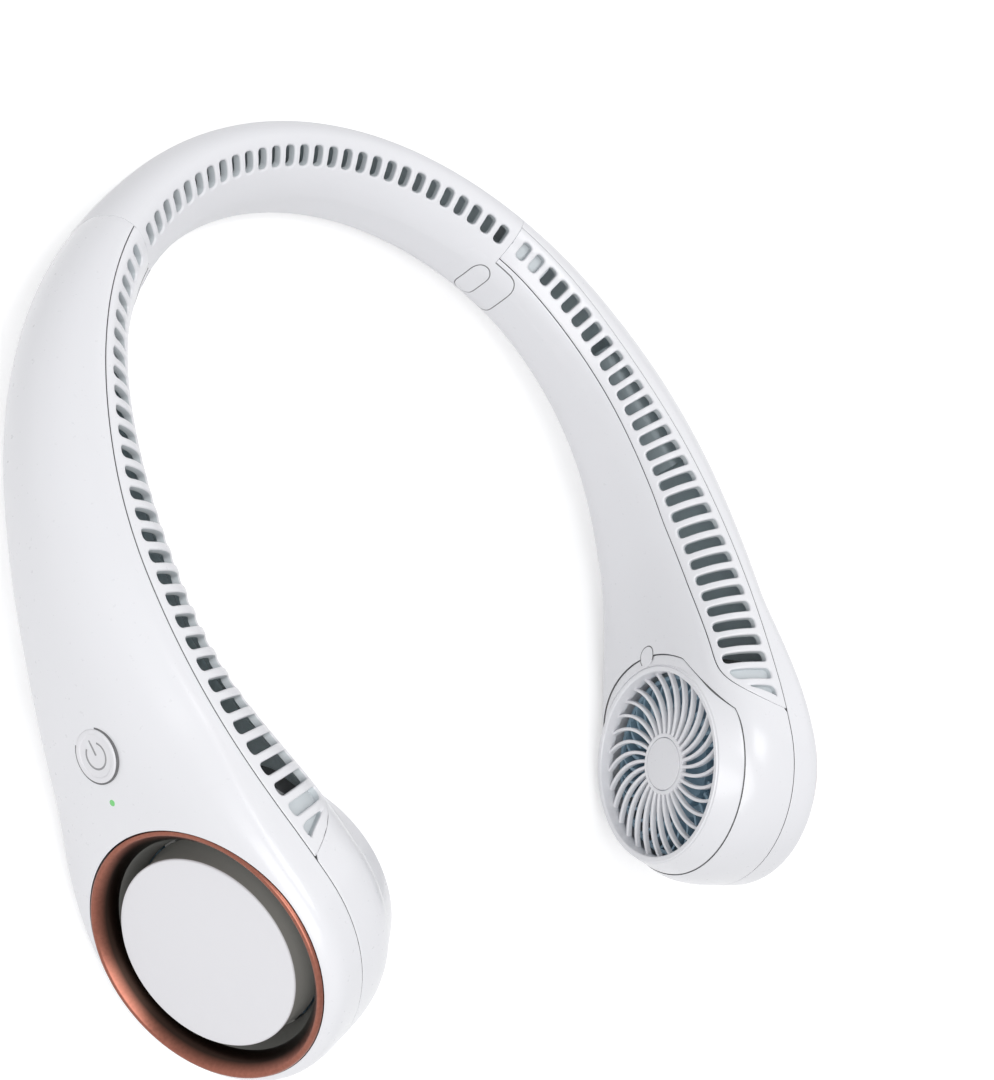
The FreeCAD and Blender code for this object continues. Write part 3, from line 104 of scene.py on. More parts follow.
# Intake, cover and controls
RING_RADIUS, RING_MOUTH, RING_CREST, RING_BEAD, RING_DEPTH = 27.2, 23.5, 0.8, 0.7, 3.8
RING_FIT, MOUTH_FIT, RING_FLARE, RING_ARC, RING_SIDE, RING_FOOT = 0.15, 0.2, 1.5, (8, 132), 0.4, 0.3
FUNNEL_FIT, NECK_WALL, THROAT_EASE, FUNNEL_STEP = 0.3, 0.65, (0.2, 0.6), 0.8
BRACKET_TOP, FUNNEL_FLANGE, THROAT_RADIUS = 1.0, 2.0, 21.4
CAP_RADIUS, CAP_THICKNESS, CAP_CROWN, CAP_SINK, CAP_BOSS = 20.35, 4.0, 0.5, 0.4, 3.5
CAP_SKIRT, CAP_FOOT, CAP_WALL, CAP_EDGE = 8.0, 21.0, 1.2, 0.45
BOSS_EASE, FOOT_STEPS = (0.4, 0.3), (0.3, 1.4)
COVER_RADIUS, COVER_WALL, COVER_SKIRT, COVER_GAP, COVER_SAG = 27.4, 1.5, 3.2, 0.2, 0.3
COVER_CHORD, COVER_CHORD_TURN, COVER_LINE = 25.6, math.radians(-32.0), 1.0
DOME_POWER, DOME_BLEND = 0.88, 4.0
GRILLE_RADIUS, GRILLE_RIM, LIP_ROUND, EYE_ROUND, GRILLE_THICKNESS = 24.35, 1.2, 0.5, 0.45, 1.4
GRILLE_SPOKES, SPOKE_SINK, SPOKE_WIDTH, SPOKE_SWEEP = 30, 2.6, 1.05, math.radians(-22.0)
SPOKE_CROWN, SPOKE_ROOT, SPOKE_END, SPOKE_TAPER, SPOKE_CURVE = 0.32, 0.4, 0.2, 0.8, 0.65
HUB_RADIUS, HUB_CAP_RADIUS, HUB_CAP_RISE, HUB_CAP_GAP = 7.8, 6.6, 0.35, 0.12
HUB_CAP_DEPTH, HUB_CAP_EDGE, HUB_CAP_POWER = 0.7, 0.18, 2.4
HUB_EDGE, SEAT_EDGE = ((0, 0.3), (0.1, 0.08), (0.3, 0)), ((0.2, 0), (0.06, 0.06), (0, 0.2))
TAB_RADIUS, TAB_REACH, TAB_HEIGHT, TAB_TRIM, TAB_CORNER = 2.7, 29.5, 1.9, 0.3, 2.2
TAB_RISE, TAB_EDGE, TAB_SINK, TAB_ROOT = 0.1, 0.08, 0.02, 0.7
BUTTON_SETBACK, BUTTON_HEIGHT, BUTTON_RADIUS, BUTTON_PROUD, BUTTON_DEPTH = 41.7, 2.0, 5.5, 0.35, 2.9
BUTTON_SIDE, BUTTON_LIP, BUTTON_CREST, BUTTON_DISH = 0.12, 0.4, 0.43, 1.5
DISH_SINK, DISH_DEPTH = 0.24, 0.1
BUTTON_GAP, GAP_DEPTH, GAP_LIFT = (0.2, 0.22), 1.2, 0.02
SIGN_RADIUS, SIGN_ARC, SIGN_BAR = 2.65, (218, 502), (0.1, 3.3)
SIGN_WIDTH, SIGN_LIFT, SIGN_SINK = 0.5, 0.12, 0.36
LIGHT_SETBACK, LIGHT_HEIGHT, LIGHT_RADIUS, LIGHT_DEPTH = 32.9, 0.7, 0.75, 3.0
LENS_CURVE = ((LIGHT_RADIUS, -0.1), (0.6, 0.02), (0.3, 0.1), (POLE, 0.12))
SOCKET_SETBACK, SOCKET_OFFSET, SOCKET_WIDTH, SOCKET_HEIGHT, SOCKET_WALL = 62.0, 3.2, 8.9, 3.2, 0.35
SOCKET_RIM, SOCKET_FLOOR, SOCKET_SKIRT, SOCKET_SINK = 0.12, 0.04, 0.1, 0.6
BLADE_WIDTH, BLADE_HEIGHT, BLADE_CORNER, BLADE_EDGE = 6.4, 0.7, 0.2, 0.05
PAD_BASE, PAD_EDGE, PAD_SINK, PAD_LINE, PAD_STEP = 0.012, 0.1, 1.0, 0.28, 0.02
TONGUE_LENGTH, TONGUE_LOW, TONGUE_HIGH, TONGUE_CORNER = 9.6, -10.4, 4.6, 3.5
TONGUE_RISE, TONGUE_ROOT = 0.03, 0.6
PEG_SETBACK, PEG_HEIGHT, PEG_LENGTH, PEG_WIDTH = 1.0, -3.5, 11.8, 5.8
PEG_RISE, PEG_BASE, PEG_TRIM = 0.16, 0.045, 0.02
FLEX_STATION, FLEX_START, FLEX_END = 45.0, 30.0, 62.0

BACK_LENGTH = BACK_RADIUS * BACK_TURN
SIDE_LENGTH = SIDE_RADIUS * SIDE_TURN
FRONT_LENGTH = FRONT_RADIUS * FRONT_TURN
POD_STATION = BACK_LENGTH + SIDE_LENGTH + FRONT_LENGTH + POD_LEAD
TIP_STATION = POD_STATION - STRIP_TIP_SETBACK
OUTER, INNER = 1, -1
RIGHT_ANGLE = math.pi / 2
MM = 0.001

# Places in a shell's list of finishes after its skin: the inside, the painted shade of seam gaps, and the
# painted shade of slot walls and floors; a piece with two finishes has its second at 1
INSIDE, SHADE_LINE, SLOT_SHADE = 1, 2, 3
SECOND = 1


def smooth(t):
    """Cubic ease: three t squared less two t cubed, held at both ends."""
    t = np.clip(t, 0.0, 1.0)
    return t * t * (3 - 2 * t)


def mix(a, b, t):
    """Value a share t of the way from a to b."""
    return a + (b - a) * t


def ramp(s, start, end):
    """Cubic ease of the way from one station to another."""
    return smooth((s - start) / (end - start))


def full_turn(count):
    """Angles in even steps round a full turn."""
    return np.linspace(0, 2 * math.pi, count, endpoint=False)


def quarter(count):
    """Angles in even steps over a quarter turn."""
    return np.linspace(0, RIGHT_ANGLE, count)


def bow(share, power):
    """Height of a unit superellipse at a share of its half width."""
    return (1 - share ** power) ** (1 / power)


def near_break(s, blend):
    """Ease through a blend before and after the end of the back's arc."""
    return ramp(s, BACK_LENGTH - blend[0], BACK_LENGTH + blend[1])


def near_pod(s, blend):
    """Ease through a blend that is measured back from the pod's axis."""
    return ramp(s, POD_STATION - blend[0], POD_STATION - blend[1])


def levelled(t, ease):
    """Straight rise from 0 to 1 that turns level over its last part by a parabola."""
    t = np.clip(t, 0.0, 1.0)
    return (t - np.maximum(t - 1 + ease, 0) ** 2 / (2 * ease)) / (1 - ease / 2)


def plan(s):
    """Plan point and heading at arc length s: three tangent arcs, then a straight line."""
    second, third = BACK_TURN, BACK_TURN + SIDE_TURN
    a = np.minimum(s, BACK_LENGTH) / BACK_RADIUS
    b = second + np.clip(s - BACK_LENGTH, 0, SIDE_LENGTH) / SIDE_RADIUS
    c = third + np.clip(s - BACK_LENGTH - SIDE_LENGTH, 0, FRONT_LENGTH) / FRONT_RADIUS
    d = np.maximum(s - BACK_LENGTH - SIDE_LENGTH - FRONT_LENGTH, 0)
    last = third + FRONT_TURN
    x = BACK_RADIUS * np.sin(a) + SIDE_RADIUS * (np.sin(b) - math.sin(second))
    x = x + FRONT_RADIUS * (np.sin(c) - math.sin(third)) + d * math.cos(last)
    y = -BACK_RADIUS * (1 - np.cos(a)) - SIDE_RADIUS * (math.cos(second) - np.cos(b))
    y = y - FRONT_RADIUS * (math.cos(third) - np.cos(c)) - d * math.sin(last)
    return x, y, a + b - second + c - third


class Stations:
    """Section frames and sizes at an array of arc lengths: each section is four superellipse
    quarters about a middle point, with its own outward and up directions."""

    def __init__(self, s):
        s = np.asarray(s, float)
        at = np.clip(s, 0, POD_STATION)
        swell = smooth((at / POD_STATION - SWELL_START) / (1 - SWELL_START)) ** SWELL_POWER
        climb = POD_STATION - TOP_START
        lift = levelled((at - TOP_START) / climb, TOP_EASE / climb) ** TOP_POWER
        top = mix(BACK_TOP, POD_TOP, lift)
        bottom = mix(BACK_TOP - BACK_HEIGHT, POD_TOP - 2 * POD_RADIUS, swell)
        arm, inner_arm = near_break(at, ARM_BLEND), near_break(at, INNER_ARM_BLEND)
        pod, inner_pod = near_pod(at, POD_BLEND), near_pod(at, INNER_POD_BLEND)
        square, inner_square = near_pod(at, POD_SQUARE_BLEND), near_pod(at, INNER_SQUARE_BLEND)
        corner = mix(BACK_INNER_SQUARE, ARM_INNER_SQUARE, near_break(at, CORNER_BLEND))
        shift = ARM_SEAM_SHIFT * arm * (1 - near_pod(at, SEAM_FADE))
        self.half = (top - bottom) / 2
        outer, inner = mix(*OUTER_WIDTHS[:2], arm), mix(*INNER_WIDTHS[:2], inner_arm)
        self.wide = {
            OUTER: mix(outer, OUTER_WIDTHS[2], pod) - shift,
            INNER: mix(inner, INNER_WIDTHS[2], inner_pod) + shift}
        self.power = {
            (OUTER, 1): mix(OUTER_TOP_SQUARE, POD_OUTER_SQUARE, square),
            (OUTER, -1): mix(OUTER_LOW_SQUARE, POD_OUTER_SQUARE, square),
            (INNER, 1): mix(corner, POD_INNER_SQUARE, inner_square),
            (INNER, -1): mix(INNER_LOW_SQUARE, POD_INNER_SQUARE, inner_square)}
        x, y, heading = plan(at)
        flat = np.zeros_like(heading)
        level = np.stack([np.sin(heading), np.cos(heading), flat], -1)
        lean = (POD_LEAN * smooth((at - BACK_LENGTH) / (POD_STATION - BACK_LENGTH)))[..., None]
        rise = np.array([0.0, 0.0, 1.0])
        self.along = np.stack([np.cos(heading), -np.sin(heading), flat], -1)
        self.out = level * np.cos(lean) + rise * np.sin(lean)
        self.up = rise * np.cos(lean) - level * np.sin(lean)
        self.origin = np.stack([x, y, (top + bottom) / 2], -1) + self.out * shift[..., None]

    def place(self, out, high):
        """Points at ways out from the seam plane and up from the middle of each section."""
        return self.origin + self.out * out[..., None] + self.up * high[..., None]


def ray(angle, power):
    """Unit superellipse along a polar angle: cosine and sine over their power mean."""
    c = np.abs(np.cos(angle))
    s = np.abs(np.sin(angle))
    size = (c ** power + s ** power) ** (-1 / power)
    return c * size, s * size


def angle_at(share, power):
    """Polar angle at which the superellipse stands a share of the half width from the seam."""
    share = np.clip(share, *SHARE_LIMITS)
    return np.arctan((share ** -power - 1) ** (1 / power))


def moved(angle, power, wide, high, length):
    """Polar angle moved along the quarter by a length: the length over the curve's speed there."""
    step = 1e-4
    here = np.clip(angle, step, RIGHT_ANGLE - step)
    near, far = ray(here - step, power), ray(here + step, power)
    speed = np.hypot(wide * (far[0] - near[0]), high * (far[1] - near[1])) / (2 * step)
    return angle + length / speed


def slope(angle, power, wide, high):
    """Outward unit normal of a section quarter, as its parts along the width and the height."""
    c, s = ray(angle, power)
    a = np.maximum(c, TINY) ** (power - 1) / wide
    b = np.maximum(s, TINY) ** (power - 1) / high
    size = np.hypot(a, b)
    return a / size, b / size


# The design frame, set down on its underside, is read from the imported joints
JOINTS = {joint["name"]: joint for joint in frame["joints"]}
FLEX_AXIS = np.array(JOINTS["right_arm_flex"]["axis"], float)
TILT_SIN, TILT_COS = FLEX_AXIS[1:] / np.linalg.norm(FLEX_AXIS)
TURN = np.array([[1, 0, 0], [0, TILT_COS, TILT_SIN], [0, -TILT_SIN, TILT_COS]])
FLEX_POINT = Stations(np.array([FLEX_STATION])).origin[0]
SHIFT = np.array(JOINTS["right_arm_flex"]["pos_m"], float) - TURN @ FLEX_POINT * MM
POD = Stations(np.array([POD_STATION]))
POD_CENTRE, POD_OUT, POD_UP, POD_ALONG = POD.origin[0], POD.out[0], POD.up[0], POD.along[0]


def to_row(points):
    """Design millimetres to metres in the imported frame: one turn about X and one shift."""
    return np.asarray(points) @ TURN.T * MM + SHIFT


def grid_quads(rows, columns, wrap_rows=False, wrap_columns=False, start=0):
    """Quads of a grid whose point number is row times columns plus column."""
    r = np.arange(rows if wrap_rows else rows - 1)
    c = np.arange(columns if wrap_columns else columns - 1)
    r, c = np.meshgrid(r, c, indexing="ij")
    r2, c2 = (r + 1) % rows, (c + 1) % columns
    quads = np.stack([r * columns + c, r * columns + c2, r2 * columns + c2, r2 * columns + c], -1)
    return quads.reshape(-1, 4) + start


class Build:
    """Collects grids of points, in design millimetres, into one mesh."""

    def __init__(self):
        self.points, self.quads, self.paint, self.count = [], [], [], 0

    def grid(self, points, wrap_rows=False, wrap_columns=False, paint=0):
        """Adds a (rows, columns, 3) grid; paint is the place of its faces' finish in the piece's list."""
        rows, columns = points.shape[:2]
        quads = grid_quads(rows, columns, wrap_rows, wrap_columns, self.count)
        self.points.append(points.reshape(-1, 3))
        self.quads.append(quads)
        self.paint.append(np.broadcast_to(paint, quads.shape[:1]) if np.ndim(paint) < 2 else np.ravel(paint))
        self.count += rows * columns
        return self

    def grids(self, points, **words):
        """Adds a stack of grids of one size."""
        for one in points:
            self.grid(one, **words)
        return self

    def join(self, other):
        """Adds the grids of another build."""
        self.points += other.points
        self.quads += [quads + self.count for quads in other.quads]
        self.paint += other.paint
        self.count += other.count
        return self

    def finish(self, name, materials, mirror=False):
        """Makes the object: welds, faces outwards, shades smooth and keeps edges over an angle sharp."""
        points = np.concatenate(self.points)
        if mirror:
            points = points * np.array([-1, 1, 1])
        mesh = bpy.data.meshes.new(name)
        mesh.from_pydata(to_row(points), [], np.concatenate(self.quads).tolist())
        mesh.polygons.foreach_set("material_index", np.concatenate(self.paint).astype(np.int32))
        work = bmesh.new()
        work.from_mesh(mesh)
        bmesh.ops.remove_doubles(work, verts=work.verts, dist=WELD * MM)
        bmesh.ops.dissolve_degenerate(work, edges=work.edges, dist=SLIVER * MM)
        bmesh.ops.recalc_face_normals(work, faces=work.faces)
        work.to_mesh(mesh)
        work.free()
        mesh.polygons.foreach_set("use_smooth", np.ones(len(mesh.polygons), bool))
        mesh.set_sharp_from_angle(angle=SHARP_EDGE)
        for material in materials:
            mesh.materials.append(material)
        piece = bpy.data.objects.new(name, mesh)
        bpy.context.scene.collection.objects.link(piece)
        return piece


def settle(piece, body, slot, *nodes):
    """Rides a finished piece on its body in place of CAD nodes."""
    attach(piece, body)
    if nodes:
        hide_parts(*nodes)
    return piece


# Materials: the grain and slow drift of plastics, the flake of metals, and painted shade on copper, slot
# walls and seam gaps

GRAIN_DETAIL, GRAIN_ROUGHNESS, GRAIN_DEPTH = 3.0, 0.6, 0.0002
GRAIN_SPAN, GRAIN_GLOSS = (0.3, 0.7), (0.9, 1.15)
DRIFT_SCALE, DRIFT_DETAIL, DRIFT_TONE, COAT_ROUGHNESS = 22.0, 2.0, 0.015, 0.12
FLAKE_SCALE, FLAKE_DETAIL, FLAKE_TONE = 1400.0, 2.0, 0.08
FLAKE_SPAN, FLAKE_GLOSS = (0.35, 0.65), (0.85, 1.2)
# Share of the ring's roll over which the copper darkens to its painted shade, and the lens's roughness
ROLL_SHADE_SPAN, LENS_ROUGHNESS = (0.0, 0.6), 0.25


def new_material(name):
    """Empty node material with its Principled shader."""
    material = bpy.data.materials.new(name)
    material.use_nodes = True
    return material, material.node_tree, material.node_tree.nodes["Principled BSDF"]


def add(tree, kind, **values):
    """Adds a node; values set its inputs by name or its own properties."""
    node = tree.nodes.new(kind)
    for key, value in values.items():
        if hasattr(node, key):
            setattr(node, key, value)
        else:
            node.inputs[key.replace("_", " ")].default_value = value
    return node


def noise(tree, scale, detail, roughness=0.5):
    """Noise over the piece's own coordinates."""
    place = add(tree, "ShaderNodeTexCoord")
    node = add(tree, "ShaderNodeTexNoise", Scale=scale, Detail=detail, Roughness=roughness)
    tree.links.new(place.outputs["Object"], node.inputs["Vector"])
    return node.outputs["Fac"]


def two_tones(tree, value, span, low, high):
    """Colour that goes from one to another over a span of a value."""
    tone = add(tree, "ShaderNodeValToRGB")
    for element, position, colour in zip(tone.color_ramp.elements, span, (low, high)):
        element.position = position
        element.color = (*colour, 1)
    tree.links.new(value, tone.inputs["Fac"])
    return tone.outputs["Color"]


def ranged(tree, value, low, high, span=(0.0, 1.0)):
    """Number that goes from one to another over a span of a value."""
    node = add(tree, "ShaderNodeMapRange", From_Min=span[0], From_Max=span[1], To_Min=low, To_Max=high)
    tree.links.new(value, node.inputs["Value"])
    return node.outputs["Result"]


def moulded(name, colour, roughness, grain=900.0, bump=0.03, coat=0.0):
    """Moulded plastic: a very fine skin texture, slow drift of tone and small changes of gloss."""
    material, tree, shader = new_material(name)
    fine = noise(tree, grain, GRAIN_DETAIL, GRAIN_ROUGHNESS)
    slow = noise(tree, DRIFT_SCALE, DRIFT_DETAIL)
    low = [max(c - DRIFT_TONE, 0.0) for c in colour]
    gloss = ranged(tree, fine, roughness * GRAIN_GLOSS[0], min(roughness * GRAIN_GLOSS[1], 1.0), GRAIN_SPAN)
    skin = add(tree, "ShaderNodeBump", Strength=bump, Distance=GRAIN_DEPTH)
    tree.links.new(two_tones(tree, slow, GRAIN_SPAN, low, colour), shader.inputs["Base Color"])
    tree.links.new(gloss, shader.inputs["Roughness"])
    tree.links.new(fine, skin.inputs["Height"])
    tree.links.new(skin.outputs["Normal"], shader.inputs["Normal"])
    if coat:
        shader.inputs["Coat Weight"].default_value = coat
        shader.inputs["Coat Roughness"].default_value = COAT_ROUGHNESS
    return material


def metal(name, colour, roughness, metallic=1.0):
    """Metal or metal paint: fine flake in tone and roughness under a soft sheen."""
    material, tree, shader = new_material(name)
    flake = noise(tree, FLAKE_SCALE, FLAKE_DETAIL)
    low, high = [[min(c * k, 1) for c in colour] for k in (1 - FLAKE_TONE, 1 + FLAKE_TONE)]
    gloss = ranged(tree, flake, roughness * FLAKE_GLOSS[0], min(roughness * FLAKE_GLOSS[1], 1.0))
    tree.links.new(two_tones(tree, flake, FLAKE_SPAN, low, high), shader.inputs["Base Color"])
    tree.links.new(gloss, shader.inputs["Roughness"])
    shader.inputs["Metallic"].default_value = metallic
    return material


def copper_with_painted_shade(name, colour, deep, roughness):
    """Satin copper with painted shade: it darkens down the ring's roll to a painted dark tone in the throat,
    by the mesh's own measure of the way down.
    """
    material = metal(name, colour, roughness)
    tree = material.node_tree
    shader = tree.nodes["Principled BSDF"]
    tone = shader.inputs["Base Color"].links[0].from_socket
    way = add(tree, "ShaderNodeAttribute", attribute_name="roll")
    blend = add(tree, "ShaderNodeMix", data_type="RGBA")
    share = two_tones(tree, way.outputs["Fac"], ROLL_SHADE_SPAN, (0, 0, 0), (1, 1, 1))
    tree.links.new(share, blend.inputs["Factor"])
    tree.links.new(tone, blend.inputs["A"])
    # Painted shade colour at the foot of the roll
    blend.inputs["B"].default_value = (*deep, 1)
    tree.links.new(blend.outputs["Result"], shader.inputs["Base Color"])
    return material


def glowing(name, colour, strength):
    """Lit lens: clear coloured plastic with its own light."""
    material = moulded(name, colour, LENS_ROUGHNESS, bump=0.0)
    shader = material.node_tree.nodes["Principled BSDF"]
    shader.inputs["Emission Color"].default_value = (*colour, 1)
    shader.inputs["Emission Strength"].default_value = strength
    return material


WHITE_SHELL = moulded("white_gloss_shell", (0.79, 0.79, 0.815), 0.3, coat=0.25, bump=0.015)
WHITE_BAND = moulded("white_soft_band", (0.79, 0.79, 0.815), 0.42, grain=1300.0, bump=0.05)
WHITE_DISC = moulded("white_satin_disc", (0.77, 0.765, 0.79), 0.45, bump=0.04)
GREY_INSIDE = moulded("grey_inside_wall", (0.70, 0.78, 0.81), 0.7)
# Grey on slot walls, blind slot floors and the band anchor: painted shade of the recesses
SLOT_SHADE_GREY = moulded("pale_slot_floor", (0.60, 0.635, 0.655), 0.6)
# Dark paint in seam gaps, round the button, pads and tongue and in the socket: painted shade of gaps and
# hollows
GAP_SHADE = moulded("dark_parting_line", (0.16, 0.16, 0.165), 0.7)
GREY_THROAT = moulded("grey_throat", (0.19, 0.19, 0.18), 0.5)
GREY_SIDE = moulded("grey_disc_side", (0.31, 0.305, 0.285), 0.5)
# Copper trim whose roll into the throat is painted darker, as shade
SHADED_COPPER = copper_with_painted_shade("satin_copper_trim", (0.27, 0.105, 0.075), (0.03, 0.018, 0.014), 0.3)
FAN_BLUE = moulded("pale_blue_fan", (0.30, 0.44, 0.54), 0.45)
SIGN_GREY = moulded("grey_sign", (0.30, 0.30, 0.31), 0.5)
GREEN_LIGHT = glowing("green_light", (0.16, 0.50, 0.17), 0.25)
STEEL = metal("brushed_steel", (0.55, 0.55, 0.57), 0.35)
BRASS = metal("bush_brass", (0.66, 0.48, 0.22), 0.35)
WINDING = metal("winding_copper", (0.62, 0.27, 0.12), 0.4, metallic=0.9)
MAGNET = moulded("dark_magnet", (0.07, 0.07, 0.075), 0.6)
CELL_WRAP = moulded("grey_cell_wrap", (0.62, 0.69, 0.72), 0.55)
BOARD = moulded("green_board", (0.03, 0.15, 0.07), 0.45)
BOARD_PART = moulded("black_board_part", (0.03, 0.03, 0.03), 0.5)
WIRE = moulded("black_wire", (0.03, 0.03, 0.032), 0.55)


# Outer and inner shells


def pod_offsets(points):
    """Offsets of points from the pod's axis: forwards along the arm's heading, and up."""
    gap = points - POD_CENTRE
    return gap @ POD_ALONG, gap @ POD_UP


def in_mouth(points):
    """True inside the round mouth for the intake ring."""
    forward, up = pod_offsets(points)
    return np.hypot(forward, up) < RING_RADIUS


def in_cover(points):
    """True inside the opening for the grille cover: a circle with one straight edge."""
    forward, up = pod_offsets(points)
    straight = forward * math.sin(COVER_CHORD_TURN) + up * math.cos(COVER_CHORD_TURN)
    return (np.hypot(forward, up) < COVER_RADIUS + COVER_GAP) & (straight < COVER_CHORD + COVER_GAP)


class ShellRows:
    """Rows of a shell half: along the arm's upper quarter, round the pod's front and back along the
    lower quarter. Each row is one superellipse quarter with its own outward and rim directions."""

    def __init__(self, side, opening, arm_rows=64, mouth_rows=44, front_rows=48):
        lead = BREAK_ROUND * (1 - np.cos(quarter(4)))
        begin = BREAK_STATION + BREAK_GAP / 2
        first = self.first_open(side, opening)
        close = np.linspace(begin + BREAK_ROUND, first - ROW_GAP, arm_rows)[1:]
        s = np.concatenate([begin + lead, close, [first]])
        turn = quarter(mouth_rows)[1:]
        s = np.concatenate([s, POD_STATION - (POD_STATION - first) * np.cos(turn)])
        front = np.linspace(RIGHT_ANGLE, -RIGHT_ANGLE, front_rows)[1:-1]
        self.s = np.concatenate([s, np.full(front.shape, POD_STATION), s[::-1]])
        upper = np.concatenate([np.ones(s.shape), np.where(front > 0, 1, -1), -np.ones(s.shape)])
        lift = np.concatenate([np.ones(s.shape), np.sin(front), -np.ones(s.shape)])
        ahead = np.concatenate([np.zeros(s.shape), np.cos(front), np.zeros(s.shape)])
        at = Stations(self.s)
        self.side, self.along_upper = side, np.arange(self.s.size) < s.size
        self.origin, self.out = at.origin, at.out
        self.rim = at.up * lift[:, None] + at.along * ahead[:, None]
        short = np.maximum(BREAK_ROUND - (self.s - begin), 0)
        self.rolled = SKIN_INSET + BREAK_ROUND - np.sqrt(np.maximum(BREAK_ROUND ** 2 - short ** 2, 0))
        self.half, self.wide = at.half, at.wide[side]
        self.power = np.where(upper > 0, at.power[(side, 1)], at.power[(side, -1)])

    @staticmethod
    def first_open(side, opening):
        """Station at which the section's widest line meets the opening, by halving."""
        low, high = POD_STATION - 2 * POD_RADIUS, POD_STATION
        for _ in range(40):
            middle = (low + high) / 2
            at = Stations(np.array([middle]))
            hit = opening(at.origin + at.out * (side * at.wide[side])[:, None])[0]
            low, high = (low, middle) if hit else (middle, high)
        return high

    def points(self, angle, inset):
        """Points of every row at (rows, columns) polar angles, with the wall inset."""
        inset = np.broadcast_to(np.asarray(inset, float), self.s.shape)[:, None]
        c, s = ray(angle, self.power[:, None])
        wide = (self.side * (self.wide[:, None] - inset) * c)[..., None]
        high = ((self.half[:, None] - inset) * s)[..., None]
        return self.origin[:, None] + self.out[:, None] * wide + self.rim[:, None] * high

    def open_angle(self, opening, inset):
        """Angle at which each row leaves the opening, by halving; 0 where it never enters it."""
        low = np.zeros(self.s.shape)
        high = np.full(self.s.shape, RIGHT_ANGLE)
        for _ in range(36):
            middle = (low + high) / 2
            hit = opening(self.points(middle[:, None], inset)[:, 0])
            low, high = np.where(hit, middle, low), np.where(hit, high, middle)
        inside = opening(self.points(np.full((self.s.size, 1), LEAST_ANGLE), inset)[:, 0])
        return np.where(inside, high, 0.0)

    def roll(self, points, angle, depth):
        """Rounded edge towards the seam: a quarter circle, then straight in to a depth."""
        a, b = slope(angle, self.power, self.wide, self.half)
        side = self.out * self.side
        normal = side * a[:, None] + self.rim * b[:, None]
        ahead = self.rim * a[:, None] - side * b[:, None]
        turns = quarter(5)[1:]
        forward = np.append(EDGE_ROUND * np.sin(turns), EDGE_ROUND)
        down = np.append(EDGE_ROUND * (1 - np.cos(turns)), depth)
        return (points[:, None] + ahead[:, None] * forward[None, :, None]
                - normal[:, None] * down[None, :, None])


def strip_share(s):
    """Share of the half width at the strip's inner seam: it widens, narrows, then closes to a point."""
    left = np.clip((TIP_STATION - s) / STRIP_TAPER, 0, 1)
    share = mix(*STRIP_SHARES[:2], ramp(s, *STRIP_WIDENS))
    share = share + (STRIP_SHARES[2] - STRIP_SHARES[1]) * ramp(s, *STRIP_NARROWS)
    return share * (1 - (1 - left) ** STRIP_TAPER_POWER)


def shell_half(side, opening, upper_share):
    """Closed half shell: outer skin, rounded seam edge, inner skin and the wall of its opening, with painted
    gap shade on the edge's fall into the seam, the opening's upper wall and the ends.
    Columns run by polar angle from the opening or the widest line to the seam."""
    rows = ShellRows(side, opening)
    reach = EDGE_ROUND + SEAM_GAP / 2
    share = np.where(rows.along_upper, upper_share(rows.s), 0.0)
    seam = np.where(share > 1e-3, angle_at(share, rows.power), RIGHT_ANGLE)
    seam = moved(seam, rows.power, rows.wide, rows.half, -reach)
    columns = np.linspace(0, 1, 30)
    start = rows.open_angle(opening, rows.rolled)
    outer = rows.points(mix(start[:, None], seam[:, None], columns), rows.rolled)
    edge = rows.roll(outer[:, -1], seam, SHELL_WALL)
    start_in = np.where(start > 0, rows.open_angle(opening, SHELL_WALL), 0.0)
    inner = rows.points(mix(start_in[:, None], seam[:, None], columns[::-1]), SHELL_WALL)
    build = Build()
    build.grid(np.concatenate([outer, edge[:, :3]], 1))
    # The edge's fall into the seam is painted dark, as gap shade
    build.grid(edge[:, 2:], paint=SHADE_LINE)
    build.grid(np.concatenate([edge[:, -1:], inner], 1), paint=INSIDE)
    opened = np.flatnonzero(start > 0)
    mouth = slice(opened[0] - 1, opened[-1] + 2)
    foot, top = inner[mouth, -1], outer[mouth, 0]
    ledge = mix(foot, top, LEDGE_SHARE)
    build.grid(np.stack([foot, ledge], 1), paint=INSIDE)
    # Upper wall of the opening painted dark, as gap shade
    build.grid(np.stack([ledge, top], 1), paint=SHADE_LINE)
    # Ends at the break painted dark, as gap shade
    for end in (0, -1):
        skin = np.concatenate([outer[end], edge[end, -1:]])
        back = np.concatenate([inner[end][::-1], edge[end, -1:]])
        build.grid(np.stack([skin, back]), paint=SHADE_LINE)
    return build


# Slotted strips


def unit_loop(short=LOOP_SHORT, long=LOOP_LONG):
    """Points round a unit square, closer together near the corners."""
    a, b = [np.sin(np.linspace(-RIGHT_ANGLE, RIGHT_ANGLE, count + 1))[:-1] for count in (short, long)]
    one = np.ones
    x = np.concatenate([a, one(long), -a, -one(long)])
    y = np.concatenate([-one(short), b, one(short), -b])
    return x, y


def rounded_loop(x, y, half_x, half_y, corner):
    """Rounded rectangle by the directions of a unit square: an inner rectangle plus a corner circle."""
    core_x, core_y = half_x - corner, half_y - corner
    px, py = x * half_x, y * half_y
    cx = np.clip(px, -core_x, core_x)
    cy = np.clip(py, -core_y, core_y)
    size = np.maximum(np.hypot(px - cx, py - cy), TINY)
    return cx + (px - cx) / size * corner, cy + (py - cy) / size * corner


